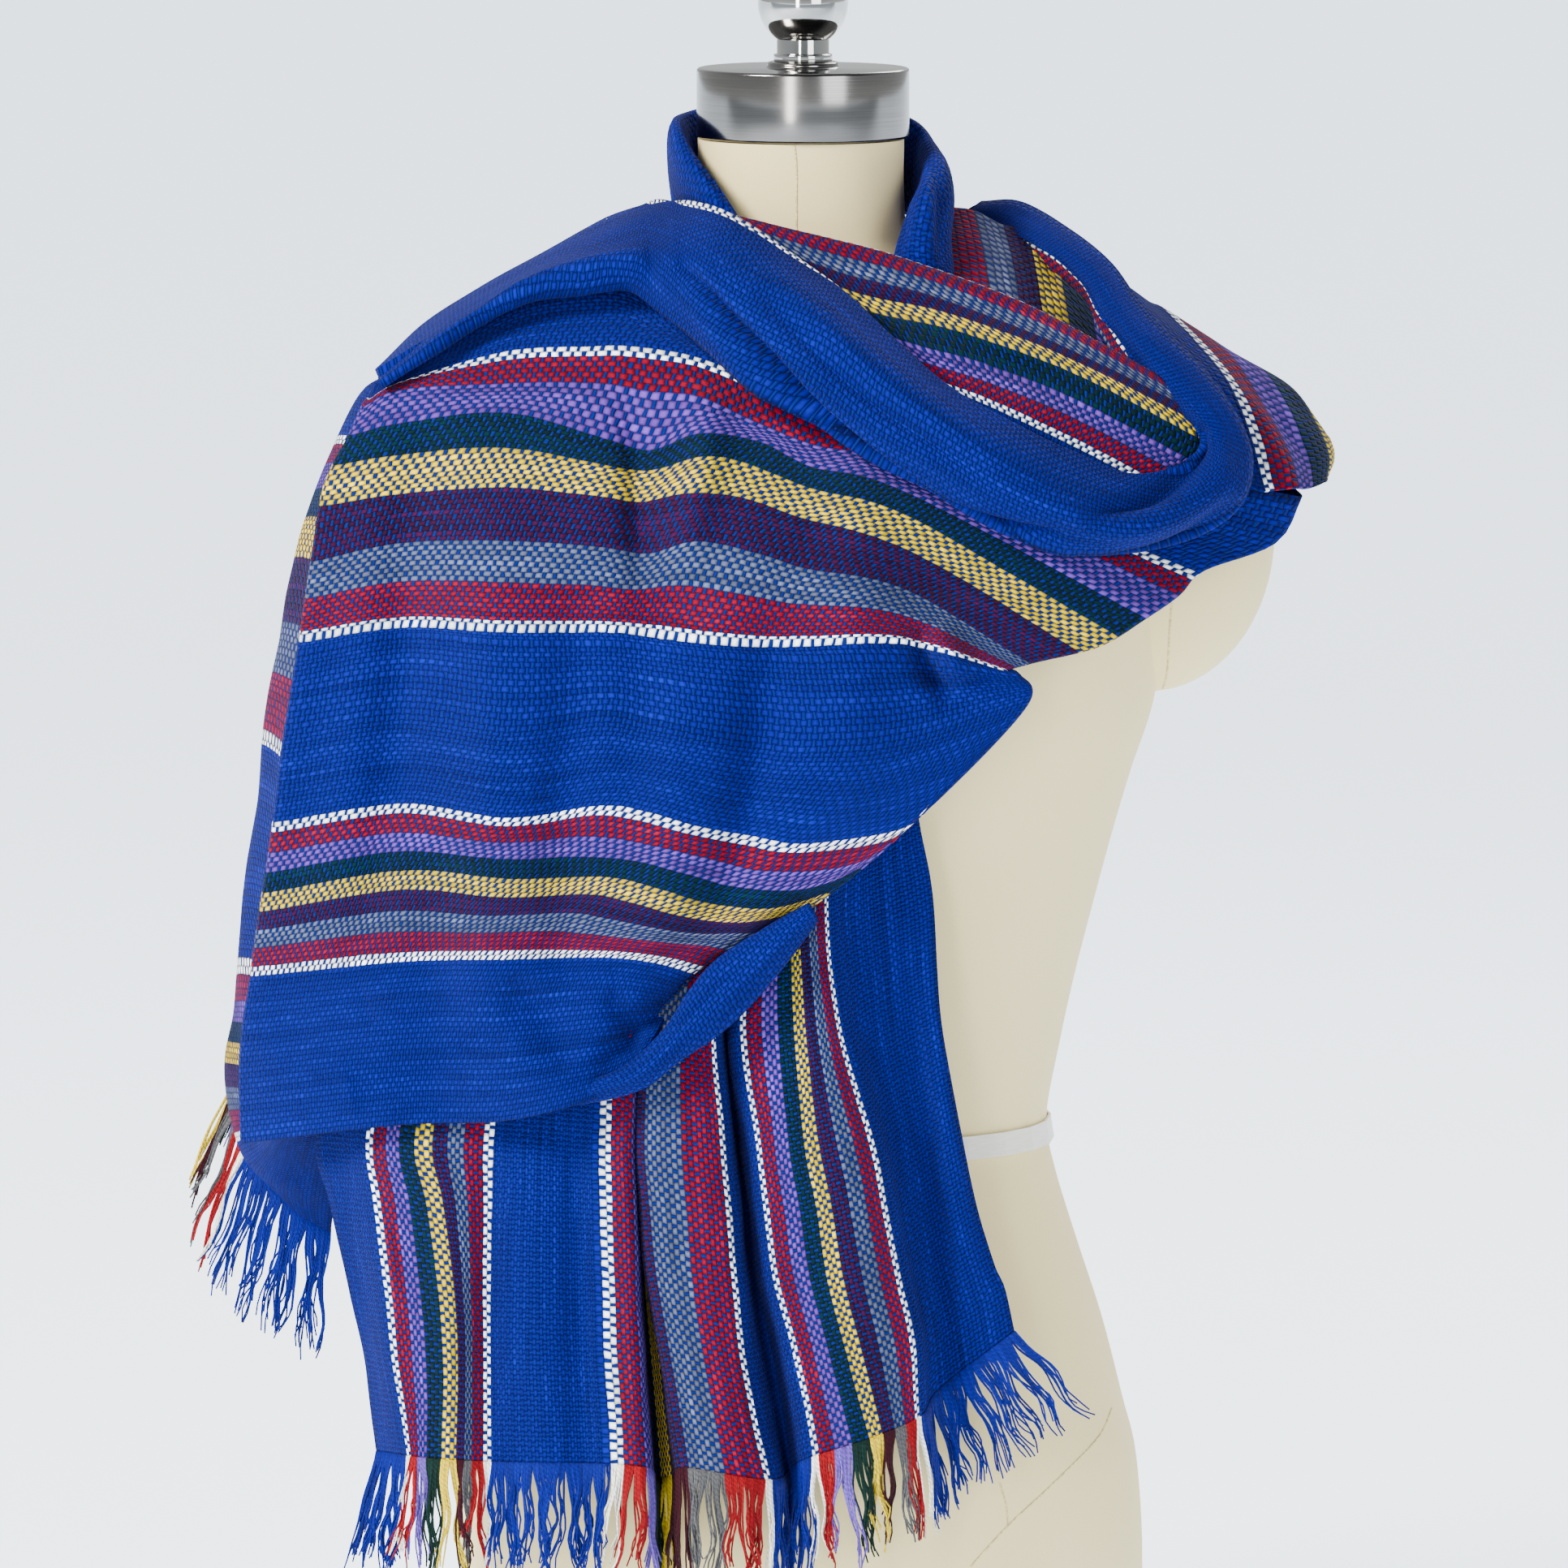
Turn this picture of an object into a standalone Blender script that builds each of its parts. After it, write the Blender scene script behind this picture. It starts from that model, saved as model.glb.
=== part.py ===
"""Handwoven striped scarf with fringed ends, draped on a limbless dress form."""
import math
from collections import namedtuple

import bmesh
import bpy
from mathutils import Vector

# Frame: origin at the centre of the form's flat base, +Z up, front towards -Y. Metres.
MM = 0.001
CLOTH_WALL = 0.0016
FITTING_GAP = 0.0003

# The tables below give the drape as it looks square on from a standing viewer.
# A point nearer the viewer moves along its own sight line.
VIEWER_SIDE = -0.008
VIEWER_DISTANCE = 5.0
VIEWER_HEIGHT = 1.145

COLOURS = {
    "linen": ((0.72, 0.65, 0.48), 0.85, 0.0),
    "steel": ((0.62, 0.61, 0.59), 0.28, 1.0),
    "chrome": ((0.75, 0.74, 0.73), 0.08, 1.0),
    "satin": ((0.80, 0.76, 0.66), 0.45, 0.0),
    "blue": ((0.010, 0.060, 0.330), 0.85, 0.0),
    "blue_red": ((0.110, 0.045, 0.210), 0.85, 0.0),
    "yarn": ((0.040, 0.070, 0.360), 0.9, 0.0),
}

# Dress form: one row for each level, sizes in millimetres.
Level = namedtuple("Level", "height half_width front back")
TORSO = [
    Level(0, 150, 100, 102), Level(60, 160, 107, 112), Level(123, 165, 110, 118),
    Level(178, 162, 108, 116), Level(208, 155, 104, 110), Level(247, 145, 99, 102),
    Level(284, 133, 93, 94), Level(320, 122, 87, 87), Level(345, 118, 85, 84),
    Level(380, 124, 88, 86), Level(413, 131, 93, 90), Level(445, 139, 100, 96),
    Level(483, 149, 109, 102), Level(514, 158, 117, 106), Level(549, 169, 124, 110),
    Level(600, 175, 126, 112), Level(636, 177, 116, 110), Level(668, 174, 94, 102),
    Level(690, 163, 76, 90), Level(711, 137, 61, 78), Level(730, 100, 52, 66),
    Level(747, 68, 49, 57), Level(766, 52, 46, 51), Level(790, 49, 47, 49),
    Level(814, 49, 48, 49),
]
TORSO_SIDES = 28
TORSO_SQUARENESS = 2.25
WAIST_HEIGHT = 0.340
TAPE_WIDTH = 0.011
TAPE_WALL = 0.0012

ArmCap = namedtuple("ArmCap", "centre_x centre_z reach half_height half_depth")
ARM_CAP = ArmCap(0.166, 0.626, 0.060, 0.076, 0.056)

CAP_CENTRE_X = 0.001
CAP_RADIUS = 0.0505
CAP_BOTTOM = 0.8145
CAP_TOP = 0.8475
STEM_RADIUS = 0.0125
STEM_RING_RADIUS = 0.0140
STEM_TOP = 0.8590
BALL_RADIUS = 0.0215
BALL_HEIGHT = 0.8785

# Depth in front of the form's middle plane at which cloth next to it lies.
Drape = namedtuple("Drape", "height depth")
DRAPE = [
    Drape(150, 140), Drape(330, 138), Drape(450, 138), Drape(520, 143), Drape(590, 148),
    Drape(640, 142), Drape(680, 124), Drape(710, 104), Drape(735, 84), Drape(760, 70),
    Drape(790, 58),
]
DRAPE_REACH_LEFT = 292
DRAPE_REACH_RIGHT = 262

# Front panel: one row for each stripe line, heights at fixed stations across.
PanelLine = namedtuple("PanelLine", "left low far near mid centre right end")
PANEL_STATIONS = {"low": -190, "far": -140, "near": -95, "mid": -40, "centre": 5, "right": 50}
PANEL = {
    "under_cowl": PanelLine((-202, 697), 704, 737, 746, 720, 700, 678, (238, 643)),
    "group_b_top": PanelLine((-205, 690), 698, 714, 717, 708, 687, 665, (196, 612)),
    "group_b_red": PanelLine((-207, 688), 694, 700, 701, 691, 672, 655, (180, 596)),
    "group_b_middle": PanelLine((-226, 648), 661, 663, 660, 657, 650, 630, (142, 572)),
    "group_b_low": PanelLine((-234, 606), 616, 615, 614, 610, 607, 598, (110, 564)),
    "group_b_end": PanelLine((-238, 577), 586, 580, 583, 576, 577, 573, (98, 560)),
    "gap_top": PanelLine((-240, 565), 574, 568, 571, 563, 562, 561, (108, 557)),
    "gap_middle": PanelLine((-246, 528), 536, 530, 535, 524, 520, 524, (108, 546)),
    "group_c_top": PanelLine((-251, 489), 498, 491, 497, 484, 479, 486, (66, 499)),
    "group_c_middle": PanelLine((-257, 450), 461, 457, 458, 443, None, None, (10, 450)),
    "group_c_end": PanelLine((-263, 412), 419, 420, 421, None, None, None, (-52, 414)),
    "edge_middle": PanelLine((-268, 371), 380, 381, 386, None, None, None, (-66, 391)),
    "hem": PanelLine((-268, 331), 340, 342, 354, None, None, None, (-80, 366)),
}
PANEL_LIFT = {
    "under_cowl": 4, "group_b_top": 7, "group_b_red": 11, "group_b_middle": 14, "group_b_low": 16,
    "group_b_end": 18, "gap_top": 18, "gap_middle": 19, "group_c_top": 20, "group_c_middle": 20,
    "group_c_end": 20, "edge_middle": 20, "hem": 20,
}
# The panel turns back on itself at both sides: steps inwards and back.
# High on the right it runs on round the arm before it ends.
FOLD_LIP = [(-0.0010, 0.0040), (0.0030, 0.0090), (0.0110, 0.0110)]
ARM_RETURN = 4.6
ARM_RETURN_SHARE = 0.2

# Large soft folds pressed into the panel: upper and lower end, width, depth.
Fold = namedtuple("Fold", "top_x top_z low_x low_z width depth")
PANEL_FOLDS = [
    Fold(-178, 560, -172, 350, 22, 5), Fold(-70, 690, -64, 350, 20, 6),
    Fold(-120, 640, -118, 350, 26, -5), Fold(-30, 700, -30, 440, 24, -3),
]

# Hanging end: one row for each level, the place across of each stripe line.
EndLevel = namedtuple("EndLevel", "height left a_top a_end b_top pleat b_grey b_end c_top c_mid c_end right")
HANGING_END = [
    EndLevel(700, -58, -50, -42, -34, -28, -22, -14, -6, 4, 14, 26),
    EndLevel(600, -92, -82, -62, -46, -36, -28, -18, -8, 8, 26, 44),
    EndLevel(500, -160, -146, -106, -72, -52, -44, -26, -12, 0, 20, 56),
    EndLevel(455, -186, -172, -124, -82, -60, -52, -34, -18, -4, 14, 64),
    EndLevel(395, -212, -196, -140, -92, -70, -66, -41, -28, -4, 21, 68),
    EndLevel(338, -231, -209, -146, -96, -76, -72, -37, -21, 0, 37, 78),
    EndLevel(305, -225, -206, -147, -95, -75, -69, -34, -18, 3, 40, 85),
    EndLevel(265, -217, -201, -148, -94, -73, -66, -31, -15, 9, 48, 94),
    EndLevel(228, -209, -197, -148, -93, -71, -60, -28, -4, 16, 55, 99),
    EndLevel(177, -203, -189, -148, -91, -68, -52, -15, 6, 34, 57, 104),
]
END_LIFT = {
    "left": -10, "a_top": 2, "a_end": 3, "b_top": 4, "pleat": -17, "b_grey": 5, "b_end": 6,
    "c_top": 2, "c_mid": 10, "c_end": 5, "right": -16,
}
END_RIGHT_RISE = 56

# Cowl: one row for each section round the U, from the left shoulder to the right one.
# The cloth runs on behind its inner edge: over the shoulder, or only as a folded lip.
CowlSection = namedtuple("CowlSection", "inner_x inner_z edge_depth outer_x outer_z lift puff behind drop")
COWL = [
    CowlSection(-202, 703, 12, -200, 697, 22, 3, 44, 14), CowlSection(-180, 724, 8, -178, 711, 21, 4, 60, 22),
    CowlSection(-154, 741, 6, -154, 726, 20, 6, 68, 34), CowlSection(-118, 761, 4, -130, 738, 20, 9, 74, 48),
    CowlSection(-92, 775, 4, -105, 741, 22, 11, 62, 38), CowlSection(-71, 783, 16, -82, 744, 24, 12, 32, 20),
    CowlSection(-56, 783, 52, -68, 735, 26, 12, 14, 10), CowlSection(-35, 778, 88, -54, 724, 28, 12, 9, 8),
    CowlSection(-9, 761, 99, -36, 709, 30, 12, 8, 8), CowlSection(18, 742, 111, -3, 688, 31, 12, 8, 8),
    CowlSection(45, 717, 130, 30, 664, 31, 12, 8, 8), CowlSection(70, 695, 143, 62, 648, 31, 12, 8, 7),
    CowlSection(105, 675, 148, 94, 629, 31, 12, 7, 6), CowlSection(133, 662, 144, 126, 618, 31, 12, 7, 6),
    CowlSection(157, 653, 136, 160, 619, 31, 12, 7, 6), CowlSection(178, 657, 122, 193, 627, 31, 11, 7, 6),
    CowlSection(190, 666, 112, 216, 641, 31, 9, 7, 5), CowlSection(190, 676, 106, 222, 663, 28, 7, 7, 5),
    CowlSection(180, 686, 100, 210, 686, 24, 6, 7, 6), CowlSection(168, 697, 92, 198, 703, 18, 6, 8, 8),
    CowlSection(155, 713, 78, 178, 720, 8, 6, 10, 10), CowlSection(143, 730, 60, 162, 736, -8, 5, 12, 12),
    CowlSection(133, 746, 40, 146, 752, -24, 5, 10, 10), CowlSection(114, 762, 16, 127, 768, -44, 4, 8, 8),
    CowlSection(93, 773, -12, 103, 781, -70, 3, 8, 6), CowlSection(76, 776, -26, 84, 782, -84, 3, 8, 6),
]

# Inner layer of the cowl: one row for each stripe line.
InnerLine = namedtuple("InnerLine", "start quarter middle three_quarter end lift")
INNER_COWL = [
    InnerLine((-36, 778), (9, 767), (53, 755), (111, 733), (168, 702), 12),
    InnerLine((-26, 768), (18, 752), (60, 741), (118, 719), (176, 690), 14),
    InnerLine((-12, 752), (30, 734), (72, 725), (128, 705), (186, 676), 14),
    InnerLine((6, 734), (46, 716), (86, 704), (134, 685), (176, 664), 13),
    InnerLine((22, 716), (54, 700), (90, 686), (132, 666), (164, 650), 12),
    InnerLine((34, 702), (62, 686), (94, 672), (130, 653), (154, 641), 11),
]

# Cloth in the hollow beside the neck: one row for each stripe line, top to bottom.
HollowLine = namedtuple("HollowLine", "top_x top_z top_depth low_x low_z low_depth")
NECK_HOLLOW = [
    HollowLine(82, 777, 10, 82, 742, 60), HollowLine(88, 774, 8, 95, 735, 60),
    HollowLine(98, 765, 5, 107, 728, 59), HollowLine(109, 752, -1, 118, 721, 57),
    HollowLine(119, 740, -5, 129, 713, 52), HollowLine(127, 730, -4, 138, 706, 46),
]

# Neck band: stations round the neck along its neck side, half its height and its bulk outwards.
BandStation = namedtuple("BandStation", "x y z half_height bulk")
NECK_BAND = [
    BandStation(-25, -56, 764, 9, 10), BandStation(-36, -46, 784, 13, 10),
    BandStation(-53, -19, 803, 19, 11), BandStation(-57, 10, 813, 21, 11),
    BandStation(-41, 42, 820, 22, 11), BandStation(0, 59, 822, 22, 11),
    BandStation(41, 42, 818, 22, 11), BandStation(59, 8, 807, 22, 12),
    BandStation(58, -20, 795, 20, 16), BandStation(50, -41, 778, 18, 22),
    BandStation(46, -52, 758, 16, 26), BandStation(45, -59, 740, 12, 25),
]
BAND_FLARE_FROM = (0.0, -0.035)

# Right shoulder: stripe lines from the back, over the ridge, to the front. Millimetres x, y, z.
ShoulderLine = namedtuple("ShoulderLine", "back crest ridge slope front low")
RIGHT_SHOULDER = [
    ShoulderLine((92, 70, 716), (110, 42, 736), (128, 8, 722), (144, -36, 702), (162, -68, 684), (178, -84, 665)),
    ShoulderLine((110, 78, 716), (136, 42, 748), (150, 2, 741), (165, -44, 720), (184, -76, 692), (197, -88, 663)),
    ShoulderLine((140, 84, 700), (160, 42, 734), (176, 0, 728), (194, -40, 707), (208, -68, 681), (215, -84, 657)),
    ShoulderLine((172, 80, 678), (190, 44, 712), (204, 2, 714), (220, -26, 694), (232, -50, 670), (235, -66, 655)),
    ShoulderLine((202, 70, 656), (218, 42, 688), (232, 8, 697), (243, -10, 682), (249, -26, 667), (247, -42, 656)),
    ShoulderLine((214, 56, 630), (236, 42, 656), (249, 20, 672), (253, 8, 668), (253, 0, 662), (250, -8, 656)),
]

# Stretch round the left arm to the fringed back end: one row for each stripe line.
WrapLine = namedtuple("WrapLine", "start corner side back end")
BACK_WRAP = [
    WrapLine((-180, -78, 686), (-207, -24, 696), (-213, 32, 694), (-170, 92, 700), (-10, 122, 664)),
    WrapLine((-194, -82, 662), (-222, -26, 668), (-229, 34, 660), (-192, 98, 648), (-40, 128, 612)),
    WrapLine((-206, -86, 620), (-236, -26, 628), (-248, 28, 620), (-216, 94, 594), (-80, 129, 556)),
    WrapLine((-216, -84, 568), (-243, -26, 574), (-257, 24, 570), (-232, 86, 546), (-118, 126, 504)),
    WrapLine((-232, -81, 516), (-250, -24, 524), (-264, 22, 524), (-246, 78, 500), (-160, 117, 453)),
    WrapLine((-236, -64, 426), (-260, -20, 428), (-273, 16, 424), (-264, 58, 412), (-214, 98, 398)),
    WrapLine((-244, -54, 382), (-264, -18, 380), (-277, 12, 377), (-277, 34, 374), (-268, 56, 368)),
    WrapLine((-244, -46, 338), (-259, -20, 336), (-268, 2, 333), (-270, 14, 330), (-266, 26, 327)),
    WrapLine((-228, -40, 302), (-236, -24, 298), (-240, -12, 294), (-238, -4, 290), (-232, 4, 286)),
]

# Turned up hem: one row for each section.
HemSection = namedtuple("HemSection", "upper_x upper_z lower_x lower_z")
TURNED_HEM = [
    HemSection(-84, 366, -76, 358), HemSection(-66, 384, -60, 370), HemSection(-54, 402, -44, 380),
    HemSection(-40, 418, -28, 394), HemSection(-18, 433, -8, 417), HemSection(4, 446, 8, 437),
]
HEM_LIFT = 31

# How far each stretch settles onto the one that carries it, in millimetres.
Settling = namedtuple("Settling", "name x y z")
SETTLING = [
    Settling("scarf_hanging_end", -0.91, -2.24, -2.18),
    Settling("scarf_turned_hem", 0.20, 6.40, 0.36),
    Settling("scarf_neck_hollow", 0.95, -0.17, 1.72),
    Settling("scarf_right_shoulder", 0.33, 0.11, -1.99),
    Settling("scarf_back_wrap", -0.83, -0.93, -0.80),
    Settling("fringe_front", -0.41, -2.28, -0.63),
    Settling("fringe_back", -1.84, -0.93, -0.24),
]

# Fringe: spacing of the strands, how long they hang and how far they wander.
FRONT_STRAND_PITCH = 0.0050
BACK_STRAND_PITCH = 0.0070
STRAND_THICKNESS = 0.0018
STRAND_TAPER = 0.86
STRAND_SWAY = 0.0006
STRIP_HEIGHT = 0.003
FRONT_FRINGE_LENGTH = 0.058
BACK_FRINGE_LENGTH = 0.060
STRAND_STEPS = 2


def clear_scene():
    for item in list(bpy.data.objects):
        bpy.data.objects.remove(item, do_unlink=True)


def material(name):
    colour, roughness, metallic = COLOURS[name]
    made = bpy.data.materials.new(name)
    made.use_nodes = True
    shader = made.node_tree.nodes["Principled BSDF"]
    shader.inputs["Base Color"].default_value = (*colour, 1.0)
    shader.inputs["Roughness"].default_value = roughness
    shader.inputs["Metallic"].default_value = metallic
    return made


def add_object(name, bm, finish):
    bmesh.ops.recalc_face_normals(bm, faces=bm.faces)
    for row in SETTLING:
        if row.name == name:
            bmesh.ops.translate(bm, verts=bm.verts, vec=Vector((row.x, row.y, row.z)) * MM)
    mesh = bpy.data.meshes.new(name)
    bm.to_mesh(mesh)
    bm.free()
    mesh.shade_smooth()
    mesh.materials.append(finish)
    made = bpy.data.objects.new(name, mesh)
    bpy.context.collection.objects.link(made)
    return made


def seen(x, z, depth):
    """Real point, in metres, on the sight line through (x, z) of the middle plane, in millimetres."""
    along = (VIEWER_DISTANCE - depth * MM) / VIEWER_DISTANCE
    real_x = VIEWER_SIDE + (x * MM - VIEWER_SIDE) * along
    real_z = VIEWER_HEIGHT + (z * MM - VIEWER_HEIGHT) * along
    return Vector((real_x, -depth * MM, real_z))


def real(point):
    return Vector(point) * MM


def catmull(p0, p1, p2, p3, t):
    return 0.5 * ((2 * p1) + (p2 - p0) * t + (2 * p0 - 5 * p1 + 4 * p2 - p3) * t * t
                  + (3 * p1 - p0 - 3 * p2 + p3) * t * t * t)


def smooth_line(points, count):
    """Count points spaced evenly along a smooth curve through the given ones."""
    ends = [points[0] * 2 - points[1]] + list(points) + [points[-1] * 2 - points[-2]]
    fine = []
    steps = 10
    for i in range(len(points) - 1):
        for step in range(steps):
            fine.append(catmull(ends[i], ends[i + 1], ends[i + 2], ends[i + 3], step / steps))
    fine.append(points[-1].copy())
    lengths = [0.0]
    for a, b in zip(fine, fine[1:]):
        lengths.append(lengths[-1] + (b - a).length)
    result = []
    at = 0
    for i in range(count):
        target = lengths[-1] * i / (count - 1)
        while at < len(fine) - 2 and lengths[at + 1] < target:
            at += 1
        part = (target - lengths[at]) / max(lengths[at + 1] - lengths[at], 1e-9)
        result.append(fine[at].lerp(fine[at + 1], min(part, 1.0)))
    return result


def loft(lines, rows, columns):
    """Grid of points over smooth lines; rows run from line to line, columns along them."""
    along = [smooth_line(line, columns) for line in lines]
    across = [smooth_line([line[i] for line in along], rows) for i in range(columns)]
    return [[across[c][r] for c in range(columns)] for r in range(rows)]


def table_value(table, height):
    for low, high in zip(table, table[1:]):
        if height <= high.height:
            part = max(0.0, (height - low.height) / (high.height - low.height))
            smooth = part * part * (3 - 2 * part) * 0.4 + part * 0.6
            return low.depth + (high.depth - low.depth) * smooth
    return table[-1].depth


def drape_depth(x, z):
    reach = DRAPE_REACH_LEFT if x < 0 else DRAPE_REACH_RIGHT
    return table_value(DRAPE, z) * math.sqrt(max(0.05, 1 - (x / reach) ** 2))


def fold_lift(folds, x, z):
    total = 0.0
    for fold in folds:
        part = (fold.top_z - z) / (fold.top_z - fold.low_z)
        fade = max(0.0, min(1.0, part * 4)) * max(0.0, min(1.0, (1.3 - part) * 4))
        centre = fold.top_x + (fold.low_x - fold.top_x) * part
        total -= fade * fold.depth * math.exp(-((x - centre) / fold.width) ** 2)
    return total


def hang(grid, folds=()):
    """Puts a grid of (x, z, lift) on the drape, seen from the front."""
    laid = []
    for row in grid:
        laid.append([seen(p.x, p.y, drape_depth(p.x, p.y) + p.z + fold_lift(folds, p.x, p.y)) for p in row])
    return laid


def grid_normals(grid):
    rows = len(grid)
    columns = len(grid[0])
    normals = []
    for r in range(rows):
        line = []
        for c in range(columns):
            across = grid[min(r + 1, rows - 1)][c] - grid[max(r - 1, 0)][c]
            along = grid[r][min(c + 1, columns - 1)] - grid[r][max(c - 1, 0)]
            line.append(across.cross(along).normalized())
        normals.append(line)
    return normals


def add_wall(bm, grid, thickness):
    """Closed wall of even thickness with the grid as its middle."""
    rows = len(grid)
    columns = len(grid[0])
    normals = grid_normals(grid)
    sides = []
    for way in (0.5, -0.5):
        side = []
        for r in range(rows):
            side.append([bm.verts.new(grid[r][c] + normals[r][c] * thickness * way) for c in range(columns)])
        sides.append(side)
    outer, inner = sides
    for r in range(rows - 1):
        for c in range(columns - 1):
            bm.faces.new((outer[r][c], outer[r][c + 1], outer[r + 1][c + 1], outer[r + 1][c]))
            bm.faces.new((inner[r][c], inner[r + 1][c], inner[r + 1][c + 1], inner[r][c + 1]))
    rim = [(0, c) for c in range(columns)] + [(r, columns - 1) for r in range(1, rows)]
    rim += [(rows - 1, c) for c in range(columns - 2, -1, -1)] + [(r, 0) for r in range(rows - 2, 0, -1)]
    for (r0, c0), (r1, c1) in zip(rim, rim[1:] + rim[:1]):
        bm.faces.new((outer[r0][c0], inner[r0][c0], inner[r1][c1], outer[r1][c1]))


def cloth(name, grid, finish):
    bm = bmesh.new()
    add_wall(bm, grid, CLOTH_WALL)
    return add_object(name, bm, finish)


def ring_point(level, angle, growth=0.0):
    power = 2 / TORSO_SQUARENESS
    side = math.copysign(abs(math.sin(angle)) ** power, math.sin(angle))
    ahead = math.copysign(abs(math.cos(angle)) ** power, math.cos(angle))
    depth = level.front if ahead > 0 else level.back
    x = (level.half_width * MM + growth) * side
    y = -(depth * MM + growth) * ahead
    return Vector((x, y, level.height * MM))


def make_torso():
    bm = bmesh.new()
    rings = []
    for level in TORSO:
        angles = [2 * math.pi * i / TORSO_SIDES for i in range(TORSO_SIDES)]
        rings.append([bm.verts.new(ring_point(level, angle)) for angle in angles])
    for low, high in zip(rings, rings[1:]):
        for i in range(TORSO_SIDES):
            j = (i + 1) % TORSO_SIDES
            bm.faces.new((low[i], low[j], high[j], high[i]))
    bm.faces.new(rings[0])
    bm.faces.new(rings[-1])
    torso = add_object("form_torso", bm, material("linen"))
    for side in (-1, 1):
        arm = make_arm_cap(side)
        join = torso.modifiers.new("arm_cap", "BOOLEAN")
        join.operation = "UNION"
        join.object = arm
    return torso


def make_arm_cap(side):
    bm = bmesh.new()
    bmesh.ops.create_uvsphere(bm, u_segments=18, v_segments=10, radius=1.0)
    for vert in bm.verts:
        vert.co.x = side * ARM_CAP.centre_x + vert.co.x * ARM_CAP.reach
        vert.co.y = vert.co.y * ARM_CAP.half_depth
        vert.co.z = ARM_CAP.centre_z + vert.co.z * ARM_CAP.half_height
    arm = add_object("arm_cap_guide", bm, material("linen"))
    arm.hide_render = True
    arm.display_type = "WIRE"
    return arm


def turned(name, outline, centre_x, sides, finish):
    """Solid of revolution from (radius, height) points, bottom to top, closed on its axis."""
    bm = bmesh.new()
    rings = []
    for radius, height in outline:
        ring = []
        for i in range(sides):
            angle = 2 * math.pi * i / sides
            place = (centre_x + radius * math.cos(angle), radius * math.sin(angle), height)
            ring.append(bm.verts.new(place))
        rings.append(ring)
    for low, high in zip(rings, rings[1:]):
        for i in range(sides):
            j = (i + 1) % sides
            bm.faces.new((low[i], low[j], high[j], high[i]))
    bm.faces.new(rings[0])
    bm.faces.new(rings[-1])
    return add_object(name, bm, finish)


def make_neck_cap():
    bevel = 0.0012
    outline = [
        (CAP_RADIUS - bevel, CAP_BOTTOM), (CAP_RADIUS, CAP_BOTTOM + bevel),
        (CAP_RADIUS, CAP_TOP - bevel), (CAP_RADIUS - bevel, CAP_TOP),
    ]
    return turned("form_neck_cap", outline, CAP_CENTRE_X, 40, material("steel"))


def make_finial():
    base = CAP_TOP + FITTING_GAP
    outline = [(STEM_RING_RADIUS, base), (STEM_RING_RADIUS, base + 0.003), (STEM_RADIUS, base + 0.004)]
    outline.append((STEM_RADIUS, STEM_TOP - 0.001))
    start = -math.acos(min(1.0, 0.0105 / BALL_RADIUS))
    steps = 10
    for i in range(steps + 1):
        angle = start + (math.radians(86) - start) * i / steps
        outline.append((BALL_RADIUS * math.cos(angle), BALL_HEIGHT + BALL_RADIUS * math.sin(angle)))
    return turned("form_finial", outline, CAP_CENTRE_X, 20, material("chrome"))


def level_at(height):
    for low, high in zip(TORSO, TORSO[1:]):
        if low.height <= height <= high.height:
            part = (height - low.height) / (high.height - low.height)
            values = [a + (b - a) * part for a, b in zip(low, high)]
            return Level(*values)
    return TORSO[-1]


def make_waist_tape():
    heights = [WAIST_HEIGHT - TAPE_WIDTH / 2, WAIST_HEIGHT, WAIST_HEIGHT + TAPE_WIDTH / 2]
    inside = 0.0009
    bm = bmesh.new()
    walls = []
    for growth in (inside, inside + TAPE_WALL):
        rings = []
        for height in heights:
            level = level_at(height / MM)
            angles = [2 * math.pi * i / TORSO_SIDES for i in range(TORSO_SIDES)]
            rings.append([bm.verts.new(ring_point(level, angle, growth)) for angle in angles])
        walls.append(rings)
    inner, outer = walls
    for i in range(TORSO_SIDES):
        j = (i + 1) % TORSO_SIDES
        for r in range(len(heights) - 1):
            bm.faces.new((outer[r][i], outer[r][j], outer[r + 1][j], outer[r + 1][i]))
            bm.faces.new((inner[r][i], inner[r + 1][i], inner[r + 1][j], inner[r][j]))
        bm.faces.new((outer[0][i], inner[0][i], inner[0][j], outer[0][j]))
        bm.faces.new((outer[-1][i], outer[-1][j], inner[-1][j], inner[-1][i]))
    return add_object("form_waist_tape", bm, material("satin"))


def edge_inwards(edge, hint):
    """For each point of an edge, the way into the cloth, square to the edge."""
    ways = []
    for i in range(len(edge)):
        along = edge[min(i + 1, len(edge) - 1)] - edge[max(i - 1, 0)]
        way = along.cross(Vector((0, 1, 0))).normalized()
        ways.append(way if way.dot(hint) > 0 else -way)
    return ways


def add_fold_lips(grid):
    left_ways = edge_inwards([row[0] for row in grid], Vector((1, 0, 0)))
    right_ways = edge_inwards([row[-1] for row in grid], Vector((-1, 0, 0.3)))
    for r, row in enumerate(grid):
        share = r / (len(grid) - 1)
        reach = 1 + (ARM_RETURN - 1) * max(0.0, 1 - share / ARM_RETURN_SHARE)
        left = row[0]
        right = row[-1]
        for inwards, back in FOLD_LIP:
            row.insert(0, left + left_ways[r] * inwards + Vector((0, back, 0)))
            row.append(right + right_ways[r] * inwards + Vector((0, back * reach, 0)))


def make_front_panel():
    lines = []
    for name, row in PANEL.items():
        places = [row.left]
        for station, x in PANEL_STATIONS.items():
            height = getattr(row, station)
            if height is not None:
                places.append((x, height))
        places.append(row.end)
        lines.append([Vector((x, z, PANEL_LIFT[name])) for x, z in places])
    grid = hang(loft(lines, 22, 19), PANEL_FOLDS)
    add_fold_lips(grid)
    return cloth("scarf_front_panel", grid, material("blue_red"))


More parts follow.
